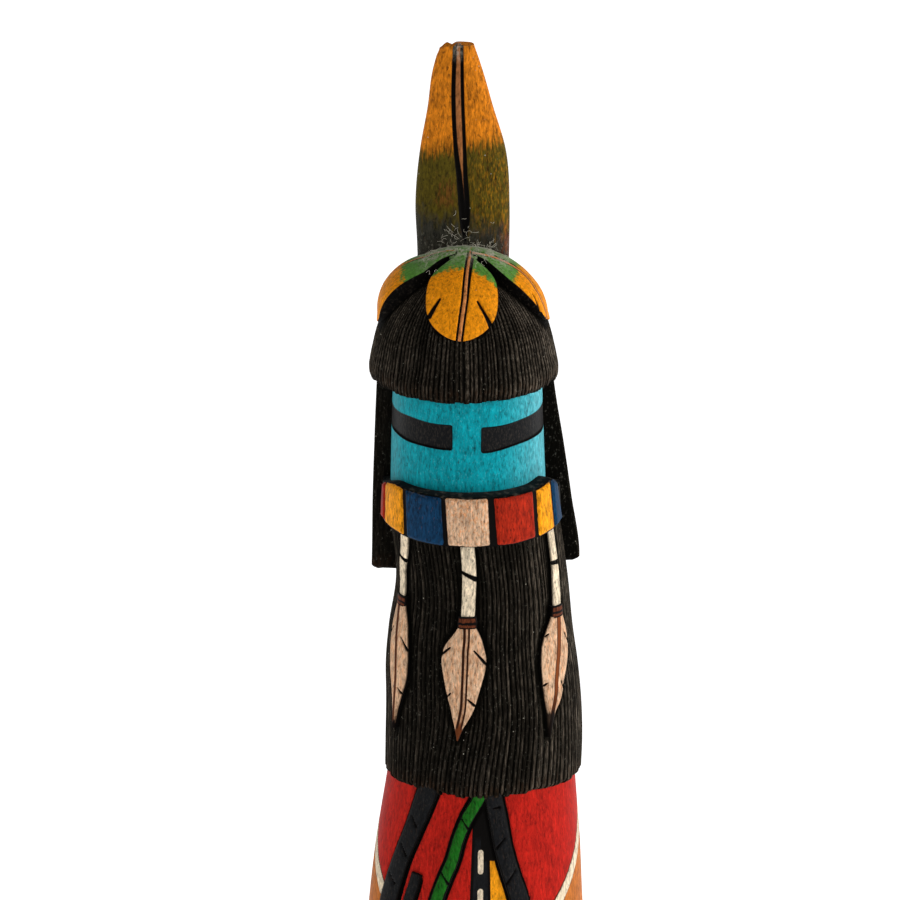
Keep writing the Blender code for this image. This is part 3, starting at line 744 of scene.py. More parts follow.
def collar_finish():
    """Blocks of paint one beside the next, parted and rimmed with black."""
    finish = Finish("painted_root_collar")
    block, turn, share = finish.mark("block")
    flecks = finish.noise(0.5, 0.8, detail=4.0, rough=0.7, shift=35.0) + share * 0.08
    pale = finish.mix(flecks.rise(0.52, 0.66) * 0.6, "leaf", "strip")
    colour = COLLAR_PAINTS[0]
    for (angle, lean, _), name in zip(COLLAR_JOINTS[1:], COLLAR_PAINTS[1:]):
        side = turn + share * lean - (angle + lean / 2)
        colour = finish.mix(side.rise(-0.01, 0.01), colour, pale if name == "leaf" else name)
    colour, grain = weather(finish, colour, 0.12, 1.4)
    wobble = (finish.noise(0.6, 0.9, shift=6.0) - 0.5) * 0.2
    colour = finish.mix((block + wobble).rise(-0.08, 0.05), colour, "line")
    worn = finish.noise(1.2, 0.4, detail=3.0, shift=44.0).rise(0.5, 0.7) * share.rise(0.93, 1.0)
    colour = finish.mix(worn * 0.35, colour, "worn")
    return finish.close_painted(colour, grain, 0.06, matt=0.45)


def petal_finish():
    """A crown feather: green at the crown and orange at the end, with a brown quill and black walls."""
    finish = Finish("feather_paint")
    across, _, wall = finish.mark("place")
    quill, gap, boundary = finish.mark("quill")
    cut, half, _ = finish.mark("cut")
    junction, stroke, crown = finish.mark("dust")
    ragged = (finish.noise(0.7, 1.6, detail=3.0, shift=18.0) - 0.5) * 14
    colour = finish.mix((boundary + ragged).rise(-2.2, 2.2), "petal_green", "petal_orange")
    colour, grain = weather(finish, colour, 0.12, 1.0)
    strip_paint, _ = weather(finish, "strip", 0.0)
    colour = finish.mix((abs(quill) - gap).rise(0.05, -0.05), colour, strip_paint)
    colour = finish.mix((abs(abs(quill) - gap) - stroke).rise(0.07, -0.05), colour, "line")
    colour = finish.mix(cut.rise(0.16, 0.0), colour, "line")
    film = finish.noise(0.6, 0.6, detail=4.0, rough=0.7, shift=50.0)
    patch = finish.noise(2.2, 2.2, detail=3.0, shift=70.0).rise(0.36, 0.6)
    top = junction.rise(13.0, 4.0) * film.rise(0.4, 0.56) * (patch * 0.55 + 0.3)
    rim = junction.rise(3.0, 1.0) * film.rise(0.3, 0.5) * 0.8
    colour = finish.mix(top.most(rim) * crown, colour, "dust")
    colour = finish.mix(finish.specks(0.5, 0.012, 5.0) * 0.6, colour, "dust")
    soot = finish.mix(film.rise(0.5, 0.8) * 0.3, "line", "worn")
    colour = finish.mix((half - abs(across)).rise(0.25, 0.08).most(wall), colour, soot)
    return finish.close_painted(colour, grain, 0.08)


def plume_finish():
    """The tall feather: orange, then olive, then a sooty dusty foot, with two black quill grooves."""
    finish = Finish("feather_paint_plume")
    side, height, _ = finish.mark("place")
    quill, gap, half = finish.mark("quill")
    ragged = (finish.noise(0.35, 2.5, detail=3.0, shift=18.0) - 0.5) * 8 - side * 0.14
    colour = finish.mix((height + ragged).rise(278.2, 282.6), "plume_olive", "plume_orange")
    foot = (finish.noise(1.0, 3.0, detail=4.0, shift=28.0) - 0.5) * 14 + side * 0.2
    smoke = (height + foot).rise(267.5, 261.5) * 0.92
    colour = finish.mix(smoke, colour, "plume_dark")
    patch = (abs(height - 270.5) - 3.0).rise(1.0, -1.5) * (abs(side + 3.5) - 2.0).rise(0.8, -0.8)
    rust = height.rise(266.5, 262.0) * side.rise(6.8, 8.4)
    bare = finish.noise(0.5, 1.8, detail=3.0, shift=66.0).rise(0.4, 0.6)
    colour = finish.mix((patch * 0.4).most(rust * 0.6) * bare, colour, "quill")
    yellow = finish.noise(0.3, 1.3, detail=3.0, shift=88.0).rise(0.46, 0.68) * side.rise(-3.0, 6.0)
    colour = finish.mix(yellow * height.rise(281.0, 277.0) * (1 - smoke) * 0.22, colour, "yellow")
    colour, grain = weather(finish, colour, 0.12, streaks=1.35)
    strip_paint, _ = weather(finish, finish.shade("strip", 0.47), 0.0)
    middle = (abs(quill) - gap).rise(0.05, -0.05) * gap.rise(0.3, 0.5) * height.rise(266.0, 270.0)
    colour = finish.mix(middle, colour, strip_paint)
    width = half * (1 - quill.rise(-0.1, 0.1) * 0.24 + 0.12)
    groove = (abs(abs(quill) - gap) - width).rise(0.1, -0.08) * half.rise(0.05, 0.15)
    colour = finish.mix(groove, colour, "line")
    film = finish.noise(0.5, 0.8, detail=5.0, rough=0.75, shift=50.0)
    colour = finish.mix(film.rise(0.52, 0.7) * height.rise(264.0, 257.0) * 0.4, colour, "dust")
    worn_top = film.rise(0.4, 0.6) * height.rise(TOP - 4.0, TOP - 0.5) * (abs(quill) - gap).rise(0.5, 0.1)
    colour = finish.mix(worn_top * 0.5, colour, "dust")
    colour = finish.mix(finish.specks(0.6, 0.025) * 0.6, colour, "dust")
    return finish.close_painted(colour, grain, 0.1)


def leaf_finish():
    """A hung feather: flecked cream with a dark quill and slits, and rust towards its tip."""
    finish = Finish("feather_paint_leaf")
    across, _, wall = finish.mark("place")
    quill, gap, stroke = finish.mark("quill")
    cut, half, share = finish.mark("cut")
    brown, tip, _ = finish.mark("fill")
    warm = finish.noise(0.4, 1.6, detail=3.0, shift=3.0).rise(0.42, 0.62)
    inside = (half - abs(across)).rise(0.1, 0.9) * 0.7 + 0.3
    colour = finish.mix(warm * inside * 0.42, "leaf", "strip")
    rust = share.rise(0.55, 1.0) * finish.noise(0.5, 1.4, detail=3.0, shift=15.0).rise(0.35, 0.6)
    colour = finish.mix(rust * 0.5, colour, "wood")
    colour, grain = weather(finish, colour, 0.25, 1.3)
    dark = finish.mix(share.rise(0.55, 0.85) * brown * 0.75, "quill", "line")
    inked = (abs(quill) - gap).rise(0.03, -0.03) * brown.most(share.rise(0.72, 0.88))
    colour = finish.mix(inked, colour, dark)
    lines = (abs(abs(quill) - gap) - stroke * (1 - quill.rise(-0.05, 0.05) * 0.3)).rise(0.08, -0.02)
    ink = finish.mix(brown * 0.4, "line", "quill")
    colour = finish.mix(lines, colour, ink)
    scorch = (share - tip + (warm - 0.5) * 0.03).rise(-0.02, 0.03)
    burnt = finish.mix(brown * 0.85 + 0.15, "quill", "line")
    colour = finish.mix(scorch * 0.95, colour, burnt)
    colour = finish.mix(cut.rise(0.16, 0.02), colour, "line")
    rim = (half - abs(across)).rise(0.12, 0.02) * 0.5
    colour = finish.mix(rim.most(wall), colour, "line")
    return finish.close_painted(colour, grain, 0.06)


def strap_finish():
    """A hung feather's cream strap, with one black cut."""
    finish = Finish("feather_paint_strap")
    across, _, wall = finish.mark("place")
    cut, half, _ = finish.mark("cut")
    colour, grain = weather(finish, "cream", 0.2, 1.4)
    colour = finish.mix(cut.rise(0.3, 0.16), colour, "line")
    rim = (half - abs(across)).rise(0.14, 0.04) * 0.6
    colour = finish.mix(rim.most(wall), colour, "line")
    return finish.close_painted(colour, grain, 0.05)


def tie_finish():
    """The dark red tie between a strap and its feather, ruled with black."""
    finish = Finish("feather_paint_tie")
    across, _, wall = finish.mark("place")
    _, half, share = finish.mark("cut")
    colour, grain = weather(finish, "tie", 0.0, 1.5)
    wobble = (finish.noise(0.6, 0.6, shift=12.0) - 0.5) * 0.2
    lines = (abs(share - 0.55 + wobble) - 0.08).rise(0.06, -0.02)
    ends = (abs(share - 0.5) - 0.38 + wobble * 0.5).rise(-0.04, 0.04)
    rim = (half - abs(across)).rise(0.35, 0.12)
    colour = finish.mix(lines.most(ends).most(rim).most(wall), colour, "line")
    return finish.close_painted(colour, grain, 0.05)


def base_finish():
    """Turned hardwood, stained dark, under a thin oil."""
    finish = Finish("base_wood")
    values = {"Vector": finish.place, "Scale": 0.11, "Distortion": 2.5, "Detail": 3.0, "Detail Scale": 1.4}
    bands = {"wave_type": "BANDS", "bands_direction": "Y"}
    rings = finish.node("ShaderNodeTexWave", bands, values, output="Fac")
    values = {0: finish.place, 1: (0.12, 2.2, 2.2)}
    stretched = finish.node("ShaderNodeVectorMath", {"operation": "MULTIPLY"}, values)
    pores = finish.node("ShaderNodeTexNoise", inputs={"Vector": stretched, "Scale": 1.0, "Detail": 4.0})
    colour = finish.mix(rings * 0.5 + pores * 0.4, "base_dark", "base_light")
    colour = finish.shade(colour, pores * 0.6 + 0.7)
    return finish.close(colour, pores * 0.2 + 0.3, pores, 0.03)


def lint_finish():
    """Pale fibres of lint."""
    finish = Finish("feather_paint_lint")
    tone = finish.noise(1.5, 1.5)
    colour = finish.shade("dust", tone * 0.8 + 0.9)
    return finish.close(colour, tone * 0.1 + 0.8, tone, 0.01)


def floor_finish():
    """Matt white paper that glows, so that its far end is as bright as the wall behind it."""
    finish = Finish("floor_paper")
    tone = finish.noise(40.0, 40.0)
    finish.shader.inputs["Emission Color"].default_value = WHITE
    finish.shader.inputs["Emission Strength"].default_value = 0.8
    return finish.close(finish.shade((0.9, 0.9, 0.9), tone * 0.02 + 0.99), tone * 0.1 + 0.8, tone, 0.05)


# Shapes


def smooth(table, at):
    """The table's values on a smooth curve through its rows, the first column being the place."""
    table = np.asarray(table, float)
    places, values = table[:, 0], table[:, 1:]
    slopes = np.gradient(values, places, axis=0)
    at = np.clip(np.asarray(at, float), places[0], places[-1])
    i = np.clip(np.searchsorted(places, at) - 1, 0, len(places) - 2)
    span = (places[i + 1] - places[i])[..., None]
    t = (at - places[i])[..., None] / span
    start = (2 * t**3 - 3 * t**2 + 1) * values[i] + (t**3 - 2 * t**2 + t) * span * slopes[i]
    end = (3 * t**2 - 2 * t**3) * values[i + 1] + (t**3 - t**2) * span * slopes[i + 1]
    return start + end


def ease(low, high, x):
    """0 below low, 1 above high and a smooth step between."""
    t = np.clip((x - low) / (high - low), 0.0, 1.0)
    return t * t * (3 - 2 * t)


def bends(table, x):
    """A start plus smooth steps, each given as where it begins, where it ends and its amount."""
    start, parts = table
    return start + sum(amount * ease(low, high, x) for low, high, amount in parts)


def signed(angle):
    """The same angle between -180 and 180 degrees."""
    return (angle + 180) % 360 - 180


def grid_points(x, y, z):
    """Points from three coordinates, each given along one side of the grid or all over it."""
    return np.stack(np.broadcast_arrays(x, y, z), axis=-1)


def turned(radius, turns, height, depth=1.0):
    """Points of a turned surface: side = radius sin(turn), front = radius cos(turn) depth."""
    return grid_points(radius * np.sin(turns), -radius * np.cos(turns) * depth, height)


def ripple(seed, u, v, waves=6):
    """Smooth unevenness, mostly within -1 and 1: a sum of sine waves in seeded directions."""
    rng = np.random.default_rng(seed)
    total = np.zeros(np.broadcast(u, v).shape)
    for along, up, phase in rng.uniform(-1, 1, (waves, 3)):
        total += np.sin(along * u + up * v + phase * np.pi)
    return total / np.sqrt(waves)


def lump(seed, u, v):
    """How far hand carving leaves a surface off its true form, in millimetres."""
    return bpy.context.scene.kachina_sizes.unevenness / MM * ripple(seed, u, v)


def body_point(table, angle, height, offset):
    """A point on a mass's section at this angle from the front, pushed out by offset.

    The section is a superellipse: |side / half width|^p + |front / half depth|^p = 1.
    """
    half_width, half_depth, centre = np.moveaxis(smooth(table, height), -1, 0)
    side, front = np.sin(np.radians(angle)), np.cos(np.radians(angle))
    reach = np.abs(side / half_width) ** BODY_POWER + np.abs(front / half_depth) ** BODY_POWER
    radius = reach ** (-1 / BODY_POWER) + offset
    return grid_points(centre + radius * side, -radius * front, height)


def on_body(table):
    """The mass's surface as a function of angle, height and offset."""

    def point(angle, height, offset):
        return body_point(table, angle, height, offset)

    return point


def crown_point(turn, bulge=0.0):
    """The ball-like surface of a crown feather as a function of its angle across, along and offset."""

    def point(across, along, offset):
        tip = np.clip((along - PETAL_TIP_FROM) / (PETAL[-1][0] - PETAL_TIP_FROM), 0.0, 1.0)
        swell = bulge * np.sin(np.pi * np.clip((along - PETAL_SWELL[0]) / PETAL_SWELL[1], 0.0, 1.0))
        radius = PETAL_RADIUS + swell + offset - PETAL_TIP_SINK * tip**2
        beta, gamma = -np.radians(across), np.radians(along)
        forward, up = np.cos(beta) * np.sin(gamma), np.cos(beta) * np.cos(gamma)
        cos_turn, sin_turn = np.cos(np.radians(turn)), np.sin(np.radians(turn))
        x = forward * sin_turn + np.sin(beta) * cos_turn
        y = -forward * cos_turn + np.sin(beta) * sin_turn
        return np.stack([x, y * CAP_DEPTH, up], axis=-1) * radius[..., None] + CAP_CENTRE

    return point


def petal(feather):
    """A crown feather's surface, and the path of its middle line with half widths."""
    turn, width, reach, bulge = feather[:4]
    table = PETAL_STEM + PETAL if feather is PETALS[0] else PETAL
    return crown_point(turn, bulge), [(0.0, along * reach, half * width) for along, half in table]


def to_tall_feather(points):
    """Millimetres from each point to the foot of the tall feather, seen from above."""
    _, half_width, half_thick, centre = TALL_FEATHER[1]
    beside = np.abs(points[..., 0] - centre) - half_width
    before = np.abs(points[..., 1] - TALL_FEATHER_BACK) - half_thick
    return np.hypot(np.maximum(beside, 0.0), np.maximum(before, 0.0))


def skin_faces(count, around):
    """The faces that close a skin over this many rings, whose two middle points come last."""
    low = (np.arange(count - 1) * around)[:, None]
    ring = np.arange(around)
    following = np.roll(ring, -1)
    quads = np.stack([low + ring, low + following, low + around + following, low + around + ring], axis=-1)
    last = (count - 1) * around
    under = np.stack([np.full(around, count * around), following, ring], axis=-1)
    over = np.stack([np.full(around, count * around + 1), last + ring, last + following], axis=-1)
    return quads.reshape(-1, 4), np.concatenate([under, over])


def add_skin(name, rings, marks, material):
    """A closed skin over rings of equal count, bottom ring first, each anticlockwise from above.

    Each end is closed by a fan to its middle. marks are three numbers at each point, by name.
    """
    count, around = rings.shape[:2]

    def with_ends(grid):
        flat = grid.reshape(-1, 3)
        return np.concatenate([flat, [grid[0].mean(axis=0)], [grid[-1].mean(axis=0)]])

    quads, fans = skin_faces(count, around)
    faces = quads.tolist() + fans.tolist()
    item = add_mesh(name, with_ends(rings), faces, material)
    for label, values in marks.items():
        grid = np.stack([np.broadcast_to(value, (count, around)) for value in values], axis=-1)
        layer = item.data.attributes.new(label, "FLOAT_VECTOR", "POINT")
        layer.data.foreach_set("vector", with_ends(grid).astype(np.float32).ravel())
    item.data.set_sharp_from_angle(angle=np.radians(SHARP_ANGLE))
    return item


def add_piece(name, rings, marks, material, node="figure"):
    """A closed skin that is a piece of the figure."""
    claim(add_skin(name, rings, marks, material), node)


def add_mesh(name, points, faces, material):
    """A smooth object from points in millimetres and the faces between them."""
    mesh = bpy.data.meshes.new(name)
    mesh.from_pydata((points * MM).tolist(), [], faces)
    mesh.materials.append(material)
    mesh.shade_smooth()
    item = bpy.data.objects.new(name, mesh)
    bpy.context.scene.collection.objects.link(item)
    return item


def claim(item, node):
    """A piece rides on the figure's one body and stands for a solid, which it hides."""
    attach(item, "root")
    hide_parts(node)


def gap_to(points, line, half):
    """Millimetres from each point to a strip's outline: to its middle line, less its half width there."""
    gap = np.full(points.shape[:-1], np.inf)
    for spot, width in zip(line, half):
        gap = np.minimum(gap, np.linalg.norm(points - spot, axis=-1) - width)
    return gap


def slit_gap(points, surface, slits, lift, width):
    """Millimetres from each point to the nearest of some straight cuts that widen towards their end."""
    gap = np.full(points.shape[:-1], FAR)
    for start, end in slits:
        first, last = (surface(*map(np.array, (*end_point, lift))) for end_point in (start, end))
        run = last - first
        share = np.clip((points - first) @ run / (run @ run), 0.0, 1.0)
        away = np.linalg.norm(points - first - share[..., None] * run, axis=-1)
        gap = np.minimum(gap, away - width * (SLIT_START + (1 - SLIT_START) * share))
    return gap


def strip_line(surface, path, count, lift=0.0):
    """Points along a strip's middle line, and its half widths."""
    path = np.asarray(path, float)
    stations = np.column_stack([np.linspace(0, 1, len(path)), path])
    angle, place, half = np.moveaxis(smooth(stations, np.linspace(0, 1, count)), -1, 0)
    return surface(angle, place, np.full_like(angle, lift)), half


def strip(surface, path, lift, sink, grid, slits=(), slit_width=0.22, dent=None):
    """A raised strip on a surface, with rows of angle, place along and half width in its path.

    A ring of points goes under it, up one wall, over its crowned face and down the other wall. The
    face is lift * (1 - 0.3 v^2) high, where v runs from -1 to 1 across it, less its slits and dent.
    Returns the rings and the marks: place (across, along, wall) and cut (slit gap, half width, share).
    """
    path = np.asarray(path, float)
    stations = np.column_stack([np.linspace(0, 1, len(path)), path])
    along, across = grid
    t = np.linspace(0, 1, along)[:, None]
    under, face = np.linspace(-1, 1, 5), np.linspace(1, -1, across)
    v = np.concatenate([under, [1.0], face, [-1.0]])[None, :]
    on_face = np.concatenate([np.zeros(6), np.ones(across), [0.0]])[None, :]
    below = np.concatenate([np.ones(5), np.zeros(across + 2)])[None, :]
    angle, place, half = np.moveaxis(smooth(stations, t), -1, 0)
    still = np.zeros_like(angle)

    def rate(d_angle, d_place):
        ahead = surface(angle + d_angle, place + d_place, still)
        behind = surface(angle - d_angle, place - d_place, still)
        return np.linalg.norm(ahead - behind, axis=-1) / 2

    angle_rate, place_rate = rate(1.0, 0.0), rate(0.0, 1.0)
    run_angle = np.gradient(angle[:, 0])[:, None] * angle_rate
    run_place = np.gradient(place[:, 0])[:, None] * place_rate
    run = np.hypot(run_angle, run_place)
    wide_angle = angle - v * half * run_place / run / angle_rate
    wide_place = place + v * half * run_angle / run / place_rate
    length = np.cumsum(run, axis=0) - run[0]
    crown = lift * (1 - FACE_FALL * v**2) - FACE_ROUNDING * ease(0.8, 1.0, np.abs(v)) + 0.0 * wide_angle
    offset = np.where(on_face > 0, crown, np.where(below > 0, -sink, crown - WALL_TOP))
    cut = slit_gap(surface(wide_angle, wide_place, offset), surface, slits, lift * 0.85, slit_width)
    depth = bpy.context.scene.kachina_sizes.slit_depth / MM
    offset = offset - on_face * depth * ease(0.25, -0.1, cut)
    if dent is not None:
        offset = offset - on_face * dent(v * half, length)
    length, half, share = (values + 0.0 * v for values in (length, half, t))
    marks = {"place": (v * half, length, 1 - on_face), "cut": (cut, half, share)}
    return surface(wide_angle, wide_place, offset), marks


def locks(seed, start, end, radius):
    """The columns of engraved locks between two angles, of uneven widths.

    Returns the angles, the share of a groove's depth at each, which is (1 - sin(pi s))^1.5 at share s
    of a lock's width, and one number between -1 and 1 for each lock.
    """
    rng = np.random.default_rng(seed)
    pitch = np.degrees(bpy.context.scene.kachina_sizes.lock_pitch / MM / radius)
    count = int(round((end - start) / pitch))
    widths = 1 + LOCK_VARIETY * rng.uniform(-1, 1, count)
    edges = start + (end - start) * np.concatenate([[0.0], np.cumsum(widths)]) / widths.sum()
    angles = edges[:-1, None] + np.diff(edges)[:, None] * STRAND_PLACES
    valley = np.outer(rng.uniform(LOCK_SHALLOWEST, 1.0, count), (1 - np.sin(np.pi * STRAND_PLACES)) ** 1.5)
    tone = np.repeat(rng.uniform(-1, 1, count), len(STRAND_PLACES))
    return angles.ravel(), valley.ravel(), tone


def ragged_tips(rng, most, columns):
    """One seeded number for each lock, from -most to most, given to each of its columns."""
    places = len(STRAND_PLACES)
    return np.repeat(rng.uniform(-most, most, columns // places), places)


def hair_mass(name, table, seed, edge, radius, turn, low, high, rows, lean, worn, gap=None):
    """A mass of locks over part of the way round, with smooth walls down to the wood under it.

    low gives the height of the tips from the angle, lean the angle that a lock has moved by at a
    height, and worn how light the ridges are round the mass, mostly from -1 to 1: worn stain, and
    painted light that brightens the lit sides. Where gap, the distance to a hung feather, is small,
    the locks give way to a sunk margin.
    """
    sizes = bpy.context.scene.kachina_sizes
    angles, valley, tone = locks(seed, -edge, edge, radius)
    ragged = ragged_tips(np.random.default_rng(seed + 1), LOCK_RAGGED, len(angles))
    plain = np.linspace(edge + HAIR_WALL, 360 - edge - HAIR_WALL, HAIR_INSIDE_COLUMNS)
    around = np.concatenate([angles, [edge], plain])
    shown = np.arange(len(around)) <= len(angles)
    rest = len(plain) + 1
    valley, tone, ragged = (np.concatenate([values, np.zeros(rest)]) for values in (valley, tone, ragged))
    tips = low(around + turn) + ragged
    share = np.linspace(0, 1, rows)[:, None] ** 1.15
    height = tips + share * (high - tips)
    moved = around + turn + lean(around, height)
    bare = body_point(table, moved, height, 0.0)
    margin = np.zeros_like(height) if gap is None else 1 - ease(*BEARD_MARGIN, gap(bare))
    depth = sizes.lock_depth / MM * valley * (1 - margin) + sizes.margin_sink / MM * margin
    worn_edge = 0.35 * ease(edge - 2.2, edge, np.abs(around))
    outer = body_point(table, moved, height, lump(seed, moved * 0.12, height * 0.3) - depth - worn_edge)
    centre = smooth(table, height)[..., 2]
    pull = HIDDEN_RADIUS / np.hypot(bare[..., 0] - centre, bare[..., 1])
    hidden = bare.copy()
    hidden[..., 0] = centre + (bare[..., 0] - centre) * pull
    hidden[..., 1] *= pull
    rings = np.where(shown[:, None], outer, hidden)
    middle = rings[0].mean(axis=0)
    lips = []
    for inset, drop in HAIR_LIP:
        lip = rings[0].copy()
        lip[:, :2] = middle[:2] + (lip[:, :2] - middle[:2]) * inset
        lip[:, 2] -= drop
        lips.append(lip)
    rings = np.concatenate([lips, rings])

    def with_lips(values):
        return np.concatenate([np.repeat(values[:1], len(HAIR_LIP), axis=0), values])

    # Worn stain with painted light that brightens the lit sides, plus each lock's own tone.
    wear_and_light = bends(worn, moved) + tone * TONE_WEAR
    marks = {
        "groove": (np.where(shown, valley, SMOOTH_GROOVE), 0.0, 0.0),
        "tint": (with_lips(wear_and_light), with_lips(margin + ~shown), with_lips(height - tips)),
    }
    add_piece(name, rings, marks, hair_finish())


def stray(seed, angle, height):
    """How far a lock strays to the side, in degrees."""
    return LOCK_STRAY * ripple(seed, angle * 0.2, height * 0.12)


def feather_outlines(surface):
    """The middle lines and half widths of the hung feathers' leaves and straps."""
    parts = ("leaf", "strap", "tie")
    return [strip_line(surface, feather[part], 40) for feather in HUNG_FEATHERS.values() for part in parts]


def steps(*spans):
    """Places from one height or angle to the next, with each span's own spacing."""
    parts = [np.linspace(a, b, max(int(round((b - a) / gap)), 1), endpoint=False) for a, b, gap in spans]
    return np.concatenate([*parts, [spans[-1][1]]])


class BuildOperator:
    """What every operator here shares: it builds its pieces and reports that it has finished."""

    bl_options = {"REGISTER", "UNDO"}

    def execute(self, context):
        self.build(context.scene.kachina_sizes)
        return {"FINISHED"}


class KACHINA_OT_robe(BuildOperator, bpy.types.Operator):
    """Build the robe's painted body"""

    bl_idname = "kachina.robe"
    bl_label = "Robe"

    def build(self, sizes):
        """Radius = the robe's section + hem step + unevenness - grooves beside the bands and stripe."""
        angles = steps((-100, 100, 1.05), (100, 260, 2.6))[:-1][None, :]
        spans = (FOOT, HEM_TOP, 0.6), (HEM_TOP, 98, 1.2), (98, 154, 0.4), (154, ROBE_TOP, 1.8)
        heights = steps(*spans)[:, None]
        turn = signed(angles)
        surface = on_body(ROBE)
        bare = surface(angles, heights, 0.0)
        gap = np.full(bare.shape[:-1], FAR)
        near = heights[:, 0] > 96
        for outline, path, _ in ROBE_BANDS.values():
            line, half = (values[6:] for values in strip_line(surface, path, 70))
            gap[near] = np.minimum(gap[near], gap_to(bare[near], line, half) - outline)
        line_height = SHAWL_POINT + SHAWL_RISE * np.abs(turn) + SHAWL_LEAN * np.sin(np.radians(turn))
        shawl = (line_height - heights) * SHAWL_SLOPE
        radius = np.hypot(bare[..., 0], bare[..., 1])
        sash_turn = SASH_TURN - SASH_SWAY * np.maximum(heights - SASH_STRAIGHT, 0.0)
        across = np.radians(turn - sash_turn) * radius
        half = np.clip(SASH_HALF + (SASH_HALF_AT - heights) * SASH_SPREAD, *SASH_HALF_RANGE)
        sash = np.maximum(np.abs(across) - half, SASH_END - heights)
        sash = np.maximum(sash, heights - SASH_TOP)
        off_dash = (heights - DASH_PLACE + DASH_PITCH / 2) % DASH_PITCH - DASH_PITCH / 2
        beyond = np.maximum(np.abs(off_dash) - DASH_HALF[1] + DASH_HALF[0], 0)
        dash = np.hypot(np.abs(across), beyond) - DASH_HALF[0]
        dash = np.maximum(dash, sash + 0.2)
        dash = np.where((heights < SASH_END + 6) | (heights > DASH_PLACE + DASH_PITCH / 2), FAR, dash)
        wedge = np.minimum(self.band_turn("right", heights) - turn, turn - sash_turn)
        inner = np.minimum(turn - self.band_turn("green", heights), sash_turn - turn)
        fill = np.maximum(np.minimum(wedge, heights - YELLOW_APEX), np.minimum(inner, heights - RED_APEX))
        step = HEM_PROUD * ease(HEM_TOP + HEM_STEP, HEM_TOP, heights)
        beside_band, beside_stripe = ROBE_GROOVES
        grooves = beside_band * ease(0.1, -0.3, gap)
        grooves = grooves + beside_stripe * ease(0.35, 0.05, np.abs(shawl - STRIPE[0] + 0.15))
        uneven = lump(3, turn * 0.12, heights * 0.2) * ease(FOOT, FOOT + 6, heights)
        rings = surface(angles, heights, step + uneven - grooves)
        marks = {"place": (heights, 0.0, 0.0), "pattern": (shawl, sash, dash), "bands": (gap, wedge, fill)}
        add_piece("robe", rings, marks, robe_finish())

    def band_turn(self, name, heights):
        """The angle of a band's middle line at these heights."""
        path = np.asarray(ROBE_BANDS[name][1], float)[::-1]
        return np.interp(heights, path[:, 1], path[:, 0])


class KACHINA_OT_bands(BuildOperator, bpy.types.Operator):
    """Build the raised bands on the robe"""

    bl_idname = "kachina.bands"
    bl_label = "Robe bands"

    def build(self, sizes):
        black, green = band_finish("painted_root_black", "navy"), band_finish("painted_root_green", "green")
        surface = on_body(ROBE)
        for name, (_, path, slits) in ROBE_BANDS.items():
            finish = green if name == "green" else black
            rings, marks = strip(surface, path, BAND_LIFT, BAND_SINK, BAND_GRID, slits)
            add_piece(f"band_{name}", rings, marks, finish)


class KACHINA_OT_beard(BuildOperator, bpy.types.Operator):
    """Build the long beard of fine locks"""

    bl_idname = "kachina.beard"
    bl_label = "Beard"

    def build(self, sizes):
        surface = on_body(BEARD)
        outlines = feather_outlines(surface)

        def gap(points):
            return np.min([gap_to(points, line, half) for line, half in outlines], axis=0)

        def low(angle):
            return BEARD_TIPS - BEARD_TIPS_DROP * np.exp(-((angle / BEARD_TIPS_TURN) ** 2))

        def lean(angle, height):
            middle, width = BEARD_SLANT_PLACE
            slant = BEARD_SLANT * np.exp(-(((angle - middle) / width) ** 2))
            return slant * ease(*BEARD_SLANT_HEIGHTS, height) + stray(5, angle, height)

        edge, turn, top = BEARD_EDGE, 0.0, BEARD_TOP
        hair_mass("beard", BEARD, 11, edge, BEARD_RADIUS, turn, low, top, 80, lean, BEARD_WEAR_AND_LIGHT, gap)


class KACHINA_OT_back_hair(BuildOperator, bpy.types.Operator):
    """Build the hair that falls behind"""

    bl_idname = "kachina.back_hair"
    bl_label = "Back hair"

    def build(self, sizes):
        def low(angle):
            return BACK_HAIR_TIPS + BACK_HAIR_SLOPE * np.sin(np.radians(angle))

        def lean(angle, height):
            return stray(6, angle, height)

        edge, turn, top = 180 - BACK_HAIR_EDGE, 180.0, BACK_HAIR_TOP
        radius, worn = BACK_HAIR_RADIUS, BACK_HAIR_WEAR_AND_LIGHT
        hair_mass("back_hair", BACK_HAIR, 23, edge, radius, turn, low, top, 44, lean, worn)


